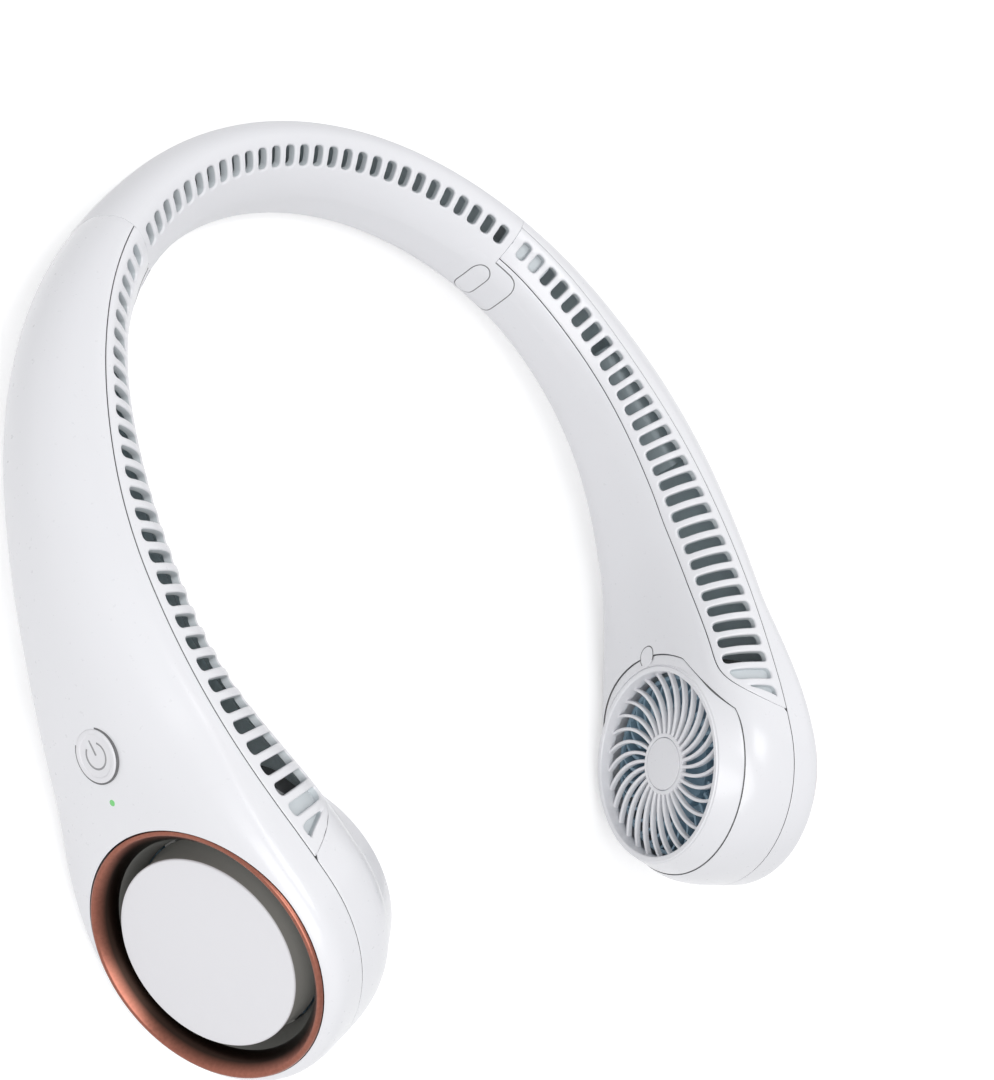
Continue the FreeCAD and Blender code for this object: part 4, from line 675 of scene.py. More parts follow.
class Strip:
    """Inner top quarter as a strip: station along it, and a share across it from the outer edge (0)
    to the inner edge (1) in polar angle, with a depth under the surface. Both edges lie in from their
    seams by a length along the surface."""

    def __init__(self, last_share, reach):
        self.last_share, self.reach = last_share, reach

    def angles(self, s):
        """Polar angles of both edges at stations s."""
        at = Stations(s)
        size = at.power[(INNER, 1)], at.wide[INNER], at.half
        first = moved(np.full(np.shape(s), RIGHT_ANGLE), *size, -self.reach)
        last = moved(angle_at(self.last_share(s), size[0]), *size, self.reach)
        return first, np.minimum(last, first - LEAST_STRIP)

    def points(self, s, share, depth):
        """Points at stations s, shares across and depths along the inward normal."""
        at = Stations(s)
        power, wide, half = at.power[(INNER, 1)], at.wide[INNER], at.half
        first, last = self.angles(s)
        angle = mix(first, last, share)
        c, u = ray(angle, power)
        a, b = slope(angle, power, wide, half)
        return at.place(a * depth - wide * c, half * u - b * depth)

    def length(self, s, chords=39):
        """Width of the strip along its surface at stations s, as a sum of short chords."""
        share = np.linspace(0, 1, chords + 1)[:, None]
        flat = np.zeros((chords + 1, s.size))
        p = self.points(flat + s, flat + share, flat)
        return np.linalg.norm(np.diff(p, axis=0), axis=-1).sum(0)


def slot_cells(strip, stations, before, after, outer_end, inner_end, wall):
    """Cells of a slotted strip, as (cells, rings, loop, 3): from the cell's border in to the bevelled
    slot, down its wall and back out under the strip. The loop goes round a unit square, and the slot's
    ends are shares that may change along its width."""
    x, y = unit_loop()

    def ends(s):
        first, last = strip.angles(s)
        power = Stations(s).power[(INNER, 1)]
        return [(angle_at(end(s), power) - first) / (last - first) for end in (outer_end, inner_end)]

    width = strip.length(stations)
    head, tail = ends(stations)
    half_long = (tail - head) / 2 * width
    corner = np.minimum(SLOT_CORNER, half_long * CORNER_SHARE)
    half_long = half_long[:, None]

    def slot(grow):
        sizes = zip(half_long[:, 0] + grow, corner + grow)
        loops = np.array([rounded_loop(x, y, SLOT_WIDTH / 2 + grow, *size) for size in sizes])
        within = np.clip(loops[:, 1], -half_long, half_long)
        way = mix(*ends(stations[:, None] + loops[:, 0]), (within / half_long + 1) / 2)
        return loops[:, 0], way + (loops[:, 1] - within) / width[:, None]

    border_x = np.where(x < 0, x[None] * before[:, None], x[None] * after[:, None])
    border_y = np.broadcast_to((y + 1) / 2, border_x.shape)
    near_x, near_y = slot(min(SLOT_BEVEL + SLOT_BORDER, (ARM_PITCH - SLOT_WIDTH) / 2 - CELL_BORDER))
    steps = np.linspace(0, 1, BORDER_RINGS)
    rings = [(mix(border_x, near_x, t), mix(border_y, near_y, t), 0.0) for t in steps]
    for turn in quarter(BEVEL_STEPS):
        rings.append((*slot(SLOT_BEVEL * (1 - math.sin(turn))), SLOT_BEVEL * (1 - math.cos(turn))))
    rings.append((*slot(0.0), wall * WALL_SHARE))
    rings.append((*slot(0.0), wall))
    rings += [(mix(near_x, border_x, t), mix(near_y, border_y, t), wall) for t in (0.0, 0.5, 1.0)]
    sx = np.stack([ring[0] for ring in rings], 1) + stations[:, None, None]
    sy = np.stack([ring[1] for ring in rings], 1)
    depth = np.broadcast_to(np.array([ring[2] for ring in rings])[None, :, None], sx.shape)
    return strip.points(sx, sy, depth)


def add_cells(build, cells):
    """Adds slot cells; the slot's wall takes a grey finish of painted shade, and the rings under its foot
    take the inside finish.
    """
    build.grids(cells[:, :BEVEL_RINGS], wrap_columns=True)
    build.grids(cells[:, BEVEL_RINGS - 1:WALL_RINGS], wrap_columns=True, paint=SLOT_SHADE)
    build.grids(cells[:, WALL_RINGS - 1:], wrap_columns=True, paint=INSIDE)


def edge_stations(stations, before, after):
    """Stations of the cell borders along the strip's edges, without repeats."""
    x = np.append(unit_loop()[0][:LOOP_SHORT], 1.0)
    s = stations[:, None] + np.where(x < 0, x * before[:, None], x * after[:, None])
    return np.append(s[:, :-1].ravel(), s[-1, -1])


def vent_strip():
    """Slotted strip of an arm: a chain of slot cells, closed by rounded edges all round. The last slots
    shorten with the strip's point and have a floor painted grey as shade."""
    strip = Strip(strip_share, EDGE_ROUND + SEAM_GAP / 2)
    stations = FIRST_SLOT + ARM_PITCH * np.arange(ARM_SLOTS)
    before = np.full(ARM_SLOTS, ARM_PITCH / 2)
    after = before.copy()
    before[0] = FIRST_SLOT - BREAK_STATION - STRIP_END_GAPS[0]
    after[-1] = TIP_STATION - STRIP_END_GAPS[1] - stations[-1]

    def outer_end(s):
        return mix(*SLOT_OUTER_SHARES, (s - FIRST_SLOT) / (TIP_STATION - FIRST_SLOT))

    def inner_end(s):
        share = strip_share(s) - mix(*STRIP_MARGINS, ramp(s, *STRIP_WIDENS))
        closing = np.clip((s - stations[-1]) / SLOT_WIDTH + 0.5, 0, 1)
        return mix(share, outer_end(s) + STRIP_POINT, closing)

    build = Build()
    add_cells(build, slot_cells(strip, stations, before, after, outer_end, inner_end, SHELL_WALL))
    s = edge_stations(stations, before, after)
    turns = np.append(quarter(5), RIGHT_ANGLE)
    down = np.append(EDGE_ROUND * (1 - np.cos(turns[:-1])), SHELL_WALL)[None, :, None]
    ahead = (EDGE_ROUND * np.sin(turns))[None, :, None]
    at = Stations(s)
    flat = np.zeros(s.shape)
    for share, way, angle in zip((0.0, 1.0), (1.0, -1.0), strip.angles(s)):
        a, b = slope(angle, at.power[(INNER, 1)], at.wide[INNER], at.half)
        normal = at.up * b[:, None] - at.out * a[:, None]
        across = (at.out * b[:, None] + at.up * a[:, None]) * way
        top, under = [strip.points(s, share + flat, depth + flat) for depth in (0.0, SHELL_WALL)]
        edge = top[:, None] + across[:, None] * ahead - normal[:, None] * down
        build.grid(edge[:, :4])
        # Fall of each edge into its seam painted dark, as gap shade
        build.grid(edge[:, 3:], paint=SHADE_LINE)
        build.grid(np.concatenate([edge[:, -1:], under[:, None]], 1), paint=INSIDE)
    share = np.tile(np.linspace(0, 1, 25), (2, 1))
    depth = np.array([[0.0], [SHELL_WALL]]) + 0 * share
    for end in (s[0], s[-1]):
        build.grid(strip.points(end + 0 * share, share, depth), paint=INSIDE)
    # Blind floors under the last slots, painted grey as shade
    floor = np.linspace(-1, 1, 7) * (SLOT_WIDTH / 2 + BLIND_OVER)
    across, floor_s = np.meshgrid(np.linspace(*BLIND_SHARES, 9), floor)
    for station in stations[-BLIND_SLOTS:]:
        build.grid(strip.points(station + floor_s, across, BLIND_DEPTH + 0 * across), paint=SLOT_SHADE)
    return build


def band_half():
    """Half of the soft band: slot cells on its inner top corner, and a plain skin over the other three
    and a half corners, closed inside, at its middle and at the rounded end by the arm."""
    strip = Strip(lambda s: np.full(np.shape(s), BAND_STRIP_SHARE), 0.0)
    stations = BAND_PITCH * (np.arange(BAND_HALF_SLOTS) + 0.5)
    before = np.full(BAND_HALF_SLOTS, BAND_PITCH / 2)
    after = before.copy()
    end = BREAK_STATION - BREAK_GAP / 2 - BREAK_ROUND
    after[-1] = end - stations[-1]
    ends = [lambda s, share=share: np.full(np.shape(s), share) for share in BAND_SLOT_SHARES]
    build = Build()
    add_cells(build, slot_cells(strip, stations, before, after, *ends, BAND_WALL))
    s = edge_stations(stations, before, after)

    def loop(s, inset):
        """Rest of the section from the strip's inner edge round to its outer edge."""
        at = Stations(s[:, None])
        begin = strip.angles(s)[1][:, None]
        quarters = ((INNER, 1, begin, 0.0), (INNER, -1, 0.0, RIGHT_ANGLE), (OUTER, -1, RIGHT_ANGLE, 0.0),
                    (OUTER, 1, 0.0, RIGHT_ANGLE))
        parts = []
        for side, upper, first, last in quarters:
            power, wide = at.power[(side, upper)], at.wide[side]
            angle = mix(first, last, np.linspace(0, 1, 14)[None])
            c, u = ray(angle, power)
            a, b = slope(angle, power, wide, at.half)
            parts.append(at.place(side * (wide * c - a * inset), upper * (at.half * u - b * inset)))
        return np.concatenate([parts[0]] + [p[:, 1:] for p in parts[1:]], 1)

    def around(station, inset):
        """Whole section at one station: the strip's border, then the rest."""
        y = np.append(unit_loop()[1][LOOP_SHORT:LOOP_SHORT + LOOP_LONG], 1.0)
        s_line = np.full(y.shape, station)
        top = strip.points(s_line, (y + 1) / 2, np.full(y.shape, inset))
        return np.concatenate([top, loop(np.array([station]), inset)[0][1:]])

    build.grid(loop(s, 0.0))
    build.grid(loop(s, BAND_WALL)[:, ::-1], paint=INSIDE)
    edge = [around(end + BREAK_ROUND * math.sin(t), BREAK_ROUND * (1 - math.cos(t))) for t in quarter(5)]
    edge += [around(end + BREAK_ROUND, BAND_WALL), around(end, BAND_WALL)]
    build.grid(np.stack(edge))
    build.grid(np.stack([around(0.0, 0.0), around(0.0, BAND_WALL)]), paint=INSIDE)
    return build


# Low pieces that lie on an arm's faces


def on_face(s, high, lift):
    """Points over an arm's inner face at stations and heights, set off along the face's normal."""
    at = Stations(s)
    power, wide = np.where(high > 0, at.power[(INNER, 1)], at.power[(INNER, -1)]), at.wide[INNER]
    share = np.clip(np.abs(high) / at.half, 0, FACE_LIMIT)
    level = bow(share, power)
    rise, way = share ** (power - 1) / at.half, level ** (power - 1) / wide
    size = np.hypot(rise, way)
    return at.place(INNER * (wide * level + lift * way / size), high + np.sign(high) * lift * rise / size)


def under_face(s, out, lift):
    """Points under an arm's outer half at stations and ways out, set off along the face's normal."""
    at = Stations(s)
    power, wide = at.power[(OUTER, -1)], at.wide[OUTER]
    share = np.clip(out / wide, 0, FACE_LIMIT)
    level = bow(share, power)
    rise, way = level ** (power - 1) / at.half, share ** (power - 1) / wide
    size = np.hypot(rise, way)
    return at.place(OUTER * (out + lift * way / size), -(at.half * level + lift * rise / size))


def capped_loops(x, y, half, corner, rings, steps):
    """Rounded loops, one for each ring's inset and lift, and more that close the last to its middle."""
    sizes = [(np.array(half) - inset, max(corner - inset, LEAST_CORNER)) for inset, _ in rings]
    loops = [rounded_loop(x, y, *reach, bend) for reach, bend in sizes]
    lifts = [lift for _, lift in rings] + [rings[-1][1]] * steps
    px, py = loops[-1]
    loops += [(px * (1 - t), py * (1 - t)) for t in np.linspace(0, 1, steps + 1)[1:]]
    return np.array(loops), np.array(lifts)[:, None]


def socket_mouth():
    """Mouth of the charging socket under the left arm: round-ended loops on the underside, from a sunk
    skirt over a thin rim to a dark floor painted as the shade of the socket's hollow, and a narrow blade
    along the middle of it."""
    x, y = unit_loop(24, 12)
    sleeve = [(-SOCKET_SKIRT, -SOCKET_SINK), (-SOCKET_SKIRT, SOCKET_RIM / 2), (0, SOCKET_RIM),
              (SOCKET_WALL, SOCKET_RIM), (SOCKET_WALL, SOCKET_FLOOR)]
    blade = [(0, 0), (0, SOCKET_RIM), (BLADE_EDGE, SOCKET_RIM)]
    first_shaded = 3
    build = Build()
    for size, corner, rings in (((SOCKET_WIDTH, SOCKET_HEIGHT), SOCKET_HEIGHT / 2, sleeve),
                                ((BLADE_WIDTH, BLADE_HEIGHT), BLADE_CORNER, blade)):
        loops, lifts = capped_loops(x, y, np.array(size) / 2, corner, rings, 4)
        points = under_face(POD_STATION - SOCKET_SETBACK + loops[:, 0], SOCKET_OFFSET + loops[:, 1], lifts)
        # Step down inside the rim and the floor painted dark, as shade of the socket's hollow
        shaded = np.zeros((len(lifts) - 1, x.size), int)
        shaded[first_shaded:] = SECOND if rings is sleeve else 0
        build.grid(points, wrap_columns=True, paint=shaded)
    return build


def pad(centre, half, corner, rise, sink=PAD_SINK, base=PAD_BASE, edge=PAD_EDGE, shown=(0, -1)):
    """Thin pad on an arm's inner face with a dark line of painted gap shade round it: rounded loops that step
    from the line's outer edge up the pad's rounded edge and close to the middle. Centre and half size are
    along the arm and up; the painted shade line shows where the way along, times a sign, passes a limit."""
    x, y = unit_loop(14, 18)
    rings = [(-PAD_LINE, -sink), (-PAD_LINE, base), (-PAD_STEP, base), (0.0, base)]
    rings.append((0.0, max(rise - edge, base)))
    rings += [(edge * (1 - math.cos(t)), rise - edge * (1 - math.sin(t))) for t in quarter(5)[1:]]
    loops, lifts = capped_loops(x, y, half, corner, rings, 8)
    shaded = np.zeros((len(lifts) - 1, x.size), int)
    # Line round the pad painted dark, as gap shade, where it shows
    shaded[:3] = np.where(loops[1, 0] * shown[0] > shown[1], SECOND, 0)
    points = on_face(centre[0] + loops[:, 0], centre[1] + loops[:, 1], lifts)
    return Build().grid(points, wrap_columns=True, paint=shaded)


# Pod pieces, turned about its axis


def pod_points(radius, turn, level):
    """Points about the pod's axis: radius, angle from up towards the front, and level outwards."""
    way = POD_UP * np.cos(turn)[..., None] + POD_ALONG * np.sin(turn)[..., None]
    return POD_CENTRE + way * np.asarray(radius)[..., None] + POD_OUT * np.asarray(level)[..., None]


def fine_profile(corners, step):
    """Profile through (radius, level) corners, cut into short steps, without its last corner."""
    corners = np.array(corners, float)
    counts = np.maximum(np.linalg.norm(np.diff(corners, axis=0), axis=1) / step, 1).astype(int)
    runs = zip(corners, corners[1:], counts)
    return np.concatenate([np.linspace(a, b, count + 1)[:-1] for a, b, count in runs])


def arc(centre, radius, first, last, count):
    """Arc of a profile: circle points between two angles in degrees."""
    turn = np.radians(np.linspace(first, last, count))
    return [(centre[0] + radius * math.cos(t), centre[1] + radius * math.sin(t)) for t in turn]


def turned(profile, segments, paint=0):
    """Closed surface of revolution of a (radius, level) profile about the pod's axis; paint gives the
    finish of each of the profile's steps."""
    radius, level = np.array(profile, float).T[..., None]
    turn = np.broadcast_to(full_turn(segments), (len(profile), segments))
    marks = np.broadcast_to(np.reshape(paint, (-1, 1)), turn.shape).astype(int)
    return Build().grid(pod_points(radius, turn, level), wrap_rows=True, wrap_columns=True, paint=marks)


def face_level(width, square, radius):
    """Level of the pod's turned face at a radius."""
    return width * bow(radius / POD_RADIUS, square)


RING_LEVEL = face_level(OUTER_WIDTHS[2], POD_OUTER_SQUARE, RING_RADIUS)
RING_SEAT = RING_LEVEL - RING_DEPTH
GRILLE_FACE = -INNER_WIDTHS[2]
SPOKE_FACE = GRILLE_FACE + SPOKE_SINK
COVER_SEAM = -face_level(INNER_WIDTHS[2], POD_INNER_SQUARE, COVER_RADIUS)


def intake_ring():
    """Copper ring: upright outer edge, a narrow round crest close to it, and a bell-shaped roll that falls
    steeply and then upright into the throat."""
    outer, inner = RING_RADIUS - RING_FIT, RING_MOUTH - MOUTH_FIT
    crest = RING_LEVEL + RING_CREST - RING_BEAD
    profile = [(outer, RING_SEAT), (outer, crest - RING_SIDE)]
    profile += arc((outer - RING_BEAD, crest), RING_BEAD, *RING_ARC, 12)
    start = profile[-1]
    for t in np.linspace(0, 1, 18)[1:]:
        fall = 1 - (1 - t) ** RING_FLARE
        profile.append((mix(start[0], inner, fall), mix(start[1], RING_SEAT + RING_FOOT, t)))
    profile.append((inner, RING_SEAT))
    return turned(profile, 192)


def paint_roll_shade(piece, mirror):
    """Writes each point's way down the ring's roll, 0 at the crest to 1 at the throat, which sets how far the
    painted shade darkens the copper.
    """
    mesh = piece.data
    spots = np.empty(3 * len(mesh.vertices), np.float32)
    mesh.vertices.foreach_get("co", spots)
    points = (spots.reshape(-1, 3) - SHIFT) / MM @ TURN * np.array([-1 if mirror else 1, 1, 1])
    radius = np.hypot(*pod_offsets(points))
    crest = RING_RADIUS - 2 * RING_BEAD
    way = np.clip((crest - radius) / (crest - RING_MOUTH), 0, 1)
    mesh.attributes.new("roll", "FLOAT", "POINT").data.foreach_set("value", way.astype(np.float32))


def intake_funnel():
    """Grey throat: a cone from the ring's foot down to the motor bracket, with a flat flange."""
    flange, neck = POD_RADIUS - SHELL_WALL - FUNNEL_FIT, RING_RADIUS - NECK_WALL
    low, high = BRACKET_TOP, BRACKET_TOP + FUNNEL_FLANGE
    profile = [(THROAT_RADIUS, low), (flange, low), (flange, high), (neck, high), (neck, RING_SEAT),
               (RING_MOUTH - MOUTH_FIT, RING_SEAT), (THROAT_RADIUS + THROAT_EASE[0], low + THROAT_EASE[1]),
               (THROAT_RADIUS, low)]
    return turned(fine_profile(profile, FUNNEL_STEP), 144)


def intake_cap():
    """White disc: soft edge, faint crown, a grey skirt, a flat back and a boss to the motor bracket."""
    face = RING_LEVEL - CAP_SINK
    under, foot = face - CAP_THICKNESS, face - CAP_SKIRT
    wall, span = CAP_RADIUS - CAP_WALL, CAP_RADIUS - CAP_EDGE
    profile = [(POLE, BRACKET_TOP), (CAP_BOSS, BRACKET_TOP), (CAP_BOSS, under - BOSS_EASE[1]),
               (CAP_BOSS + BOSS_EASE[0], under), (wall, under), (wall, foot), (CAP_FOOT, foot),
               (CAP_FOOT, foot + FOOT_STEPS[0]), (CAP_RADIUS, foot + FOOT_STEPS[1]),
               (CAP_RADIUS, face - 2 * CAP_EDGE)]
    grey = len(profile)
    profile += arc((span, face - CAP_EDGE), CAP_EDGE, 0, 84, 8)
    for t in np.linspace(0, 1, 16)[1:]:
        radius = max(span * (1 - t), POLE)
        profile.append((radius, face + CAP_CROWN * (1 - (radius / span) ** 2)))
    return turned(profile, 160, np.where(np.arange(len(profile)) < grey, SECOND, 0))


def cover_edge(turn):
    """Radius of the cover's rim by angle: a circle cut by one straight edge."""
    return np.minimum(COVER_RADIUS, COVER_CHORD / np.maximum(np.cos(turn - COVER_CHORD_TURN), CHORD_LIMIT))


def inner_level(radius, turn):
    """Level of the arm's inner face at a radius and angle about the pod's axis: the turned face in front,
    and behind it the arm's section, found by moving station and height until the point fits."""
    forward, up = radius * np.sin(turn), radius * np.cos(turn)
    s, high = POD_STATION + np.minimum(forward, 0), np.array(up)
    for _ in range(10):
        at = Stations(s)
        power = np.where(high > 0, at.power[(INNER, 1)], at.power[(INNER, -1)])
        share = np.clip(np.abs(high) / at.half, 0, RIM_LIMIT)
        points = at.place(-at.wide[INNER] * bow(share, power), high)
        here, level = pod_offsets(points)
        s, high = s + np.minimum(forward, 0) - here, high + up - level
    front = -face_level(INNER_WIDTHS[2], POD_INNER_SQUARE, np.minimum(radius, POD_RADIUS))
    return np.where(forward > 0, front, (points - POD_CENTRE) @ POD_OUT)


def grille_cover():
    """Cover: its rim is flush with the arm and the pod, a dome rises from it to the raised lip of the
    grille, and the swirled spokes and the hub plate lie sunk behind the lip."""
    turn = full_turn(288)
    flat = np.zeros(turn.shape)
    rim = cover_edge(turn)
    eye = GRILLE_RADIUS - GRILLE_RIM
    lip, shoulder = GRILLE_RADIUS + LIP_ROUND, GRILLE_FACE + LIP_ROUND
    back = SPOKE_FACE + GRILLE_THICKNESS
    skirt = COVER_SEAM + COVER_SKIRT
    rows = [(rim - COVER_WALL, skirt), (rim, skirt), (rim, COVER_SEAM + COVER_LINE)]
    line = slice(len(rows) - 1, len(rows) + 1)
    for t in np.concatenate([[-1.0, -0.6, -0.25], np.linspace(0, 1, 15)]):
        bend = max(-t, 0.0) * RIGHT_ANGLE
        radius = mix(rim - EDGE_ROUND, lip, max(t, 0.0)) + EDGE_ROUND * math.sin(bend)
        way = np.clip((COVER_RADIUS - radius) / (COVER_RADIUS - lip), 0, 1)
        dome = mix(COVER_SEAM, shoulder, way ** DOME_POWER)
        level = -np.logaddexp(-dome * DOME_BLEND, -inner_level(radius, turn) * DOME_BLEND) / DOME_BLEND
        rows.append((radius, level + COVER_SAG * (1 - way) + EDGE_ROUND * (1 - math.cos(bend))))
    for t in quarter(6)[1:]:
        rows.append((lip - LIP_ROUND * math.sin(t), shoulder - LIP_ROUND * (1 - math.cos(t))))
    for t in quarter(6):
        rows.append((eye + EYE_ROUND * (1 - math.sin(t)), GRILLE_FACE + EYE_ROUND * (1 - math.cos(t))))
    rows += [(eye, back), (eye + LIP_ROUND, back), (rim - COVER_WALL, COVER_SEAM)]
    radius, height = [np.stack([row[k] + flat for row in rows]) for k in (0, 1)]
    # Rim's side wall into the seam painted dark, as gap shade
    shaded = np.zeros(radius.shape, int)
    shaded[line] = SECOND
    points = pod_points(radius, np.broadcast_to(turn, radius.shape), height)
    build = Build().grid(points, wrap_rows=True, wrap_columns=True, paint=shaded)
    build.grids(spokes(), wrap_rows=True)
    seat = HUB_CAP_RADIUS + HUB_CAP_GAP
    hub = [(seat, back), (HUB_RADIUS, back)] + [(HUB_RADIUS - a, SPOKE_FACE + b) for a, b in HUB_EDGE]
    hub += [(seat + a, SPOKE_FACE + b) for a, b in SEAT_EDGE]
    return build.join(turned(hub, 120))


def spokes(steps=15):
    """Swirled spokes: a rounded bar carried out from hub to rim along a curve that turns faster on its
    way out."""
    t = np.linspace(0, 1, steps)
    radius = mix(HUB_RADIUS - SPOKE_ROOT, GRILLE_RADIUS - GRILLE_RIM + SPOKE_END, t)
    sweep = SPOKE_SWEEP * mix(t, t * t, SPOKE_CURVE)
    width = SPOKE_WIDTH * mix(SPOKE_TAPER, 1.0, t) / 2
    half_turn = np.linspace(0, math.pi, 9)
    across = np.append(np.cos(half_turn), [-1.0, 1.0])[:, None]
    down = np.append(SPOKE_CROWN * (1 - np.sin(half_turn)), [GRILLE_THICKNESS] * 2)[:, None]
    angle = full_turn(GRILLE_SPOKES)[:, None, None] + sweep + across * (width / radius)
    return pod_points(radius + 0 * angle, angle, SPOKE_FACE + down + 0 * angle)


def hub_cap():
    """Hub button: a shallow dome with a rounded edge."""
    back = SPOKE_FACE + HUB_CAP_DEPTH
    profile = [(POLE, back), (HUB_CAP_RADIUS, back), (HUB_CAP_RADIUS, SPOKE_FACE + HUB_CAP_EDGE)]
    for t in np.linspace(0, 1, 14):
        radius = max((HUB_CAP_RADIUS - HUB_CAP_GAP) * (1 - t), POLE)
        profile.append((radius, SPOKE_FACE - HUB_CAP_RISE * (1 - (radius / HUB_CAP_RADIUS) ** HUB_CAP_POWER)))
    return turned(profile, 96)


# Button, its sign and the light, set on the left arm's outer face


class FaceSpot:
    """Local frame on the outer face at a station and height; its axis is the section's outward way."""

    def __init__(self, station, high):
        at = Stations(np.array([station]))
        level = at.wide[OUTER] * bow(high / at.half, at.power[(OUTER, 1)])
        self.centre = at.place(level, np.array([high]))[0]
        self.out, self.up, self.along = at.out[0], at.up[0], at.along[0]

    def points(self, x, y, z):
        """Points from offsets along the arm, up and out."""
        return (self.centre + np.asarray(x)[..., None] * self.along + np.asarray(y)[..., None] * self.up
                + np.asarray(z)[..., None] * self.out)

    def turned(self, profile, segments=96):
        """Surface of revolution of a (radius, level) profile about the spot's axis."""
        turn = full_turn(segments)
        radius, level = np.array(profile, float).T[..., None] + 0 * turn
        points = self.points(radius * np.cos(turn), radius * np.sin(turn), level)
        return Build().grid(points, wrap_rows=True, wrap_columns=True)


def button_piece(spot):
    """Button: a skirt, a raised rounded ring round the rim, and a shallow dished middle."""
    side, dish = BUTTON_RADIUS - BUTTON_SIDE, BUTTON_RADIUS - BUTTON_DISH
    crest, level = side - BUTTON_LIP, BUTTON_PROUD - BUTTON_LIP
    profile = [(POLE, -BUTTON_DEPTH), (side, -BUTTON_DEPTH)]
    profile += arc((crest, level), BUTTON_LIP, 0, 90, 8)
    profile += arc((crest - BUTTON_CREST, level), BUTTON_LIP, 90, 150, 6)
    for t in np.linspace(0, 1, 12):
        radius = max(dish * (1 - t), POLE)
        profile.append((radius, BUTTON_PROUD - DISH_SINK - DISH_DEPTH * (1 - (radius / dish) ** 2)))
    return spot.turned(profile)


def groove_piece(spot):
    """Painted shade of the gap round the button: a thin flat dark ring on the shell's face."""
    inner, outer = BUTTON_RADIUS - BUTTON_GAP[0], BUTTON_RADIUS + BUTTON_GAP[1]
    return spot.turned([(inner, -GAP_DEPTH), (outer, -GAP_DEPTH), (outer, GAP_LIFT), (inner, GAP_LIFT)])


def stroke(spot, x, y):
    """Raised rounded stroke along a centre line on the button's face: a low half round across it."""
    way = np.stack([np.gradient(x), np.gradient(y)])
    way = way / np.linalg.norm(way, axis=0)
    half_turn = np.linspace(0, math.pi, 7)[:, None]
    across = np.cos(half_turn) * SIGN_WIDTH / 2
    height = BUTTON_PROUD - SIGN_SINK + np.sin(half_turn) * SIGN_LIFT + 0 * x
    return spot.points(x - way[1] * across, y + way[0] * across, height)


def sign_piece(spot):
    """Power sign: an open ring and a short bar towards the band, as low raised strokes."""
    turn = np.radians(np.linspace(*SIGN_ARC, 60))
    bar = np.linspace(*SIGN_BAR, 12)
    build = Build().grid(stroke(spot, SIGN_RADIUS * np.cos(turn), SIGN_RADIUS * np.sin(turn)))
    return build.grid(stroke(spot, -bar, 0 * bar))


# Assembly of both arms


def dress_arm(name, mirror):
    """Makes every visible piece of one arm and rides each on its body, save the band half, which is left
    unattached.
    """
    arm, cover = name + "_arm", name + "_cover"

    def no_strip(s):
        return np.zeros(s.shape)

    def put(build, label, materials, body, slot, *nodes):
        piece = build.finish(name + "_" + label, materials, mirror)
        return settle(piece, body, slot, *[name + "_" + node for node in nodes])

    shell, gap_shaded = [WHITE_SHELL, GREY_INSIDE, GAP_SHADE], [WHITE_SHELL, GAP_SHADE]
    put(shell_half(OUTER, in_mouth, no_strip), "outer_skin", shell, arm, "white_shell", "outer_shell")
    put(shell_half(INNER, in_cover, strip_share), "inner_skin", shell, arm, "white_shell", "inner_shell")
    put(vent_strip(), "slotted_strip", shell + [SLOT_SHADE_GREY], arm, "white_shell", "vent_strip")
    paint_roll_shade(put(intake_ring(), "copper_ring", [SHADED_COPPER], arm, "copper_trim", "intake_ring"), mirror)
    put(intake_funnel(), "grey_funnel", [GREY_THROAT], arm, "grey_plastic", "intake_funnel")
    put(intake_cap(), "white_disc", [WHITE_DISC, GREY_SIDE], arm, "white_disc", "intake_cap")
    put(grille_cover(), "swirl_cover", gap_shaded, cover, "white_shell", "grille_cover")
    put(hub_cap(), "hub_button", [WHITE_SHELL], cover, "white_shell", "grille_hub_cap")
    tab_end, tab_root = TAB_REACH + TAB_RADIUS, COVER_RADIUS - TAB_TRIM
    middle, half_tab = POD_STATION - (tab_end + tab_root) / 2, (tab_end - tab_root) / 2
    tab = pad((middle, TAB_HEIGHT), (half_tab, TAB_RADIUS - TAB_TRIM), TAB_CORNER, TAB_RISE, TAB_SINK,
              edge=TAB_EDGE, shown=(-1, TAB_ROOT - half_tab))
    put(tab, "finger_tab", gap_shaded, cover, "white_shell")
    middle, half_high = (TONGUE_LOW + TONGUE_HIGH) / 2, (TONGUE_HIGH - TONGUE_LOW) / 2
    tongue = pad((BREAK_STATION, middle), (TONGUE_LENGTH, half_high), TONGUE_CORNER, TONGUE_RISE,
                 edge=TONGUE_RISE / 2, shown=(1, TONGUE_ROOT))
    put(tongue, "band_tongue", [WHITE_BAND, GAP_SHADE], arm, "white_band")
    peg = pad((BREAK_STATION - PEG_SETBACK, PEG_HEIGHT), (PEG_WIDTH / 2, PEG_LENGTH / 2),
              PEG_WIDTH / 2 - PEG_TRIM, PEG_RISE, base=PEG_BASE)
    put(peg, "joint_peg", gap_shaded, arm, "white_shell", "anchor_peg")
    # The band's slot walls take the painted shade grey
    band = [WHITE_BAND, GREY_INSIDE, GAP_SHADE, SLOT_SHADE_GREY]
    half = band_half().finish(name + "_band_half", band, mirror)
    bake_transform(half)
    nodes = [name + "_band_end"] + ([] if mirror else ["band_sleeve"])
    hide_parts(*nodes)


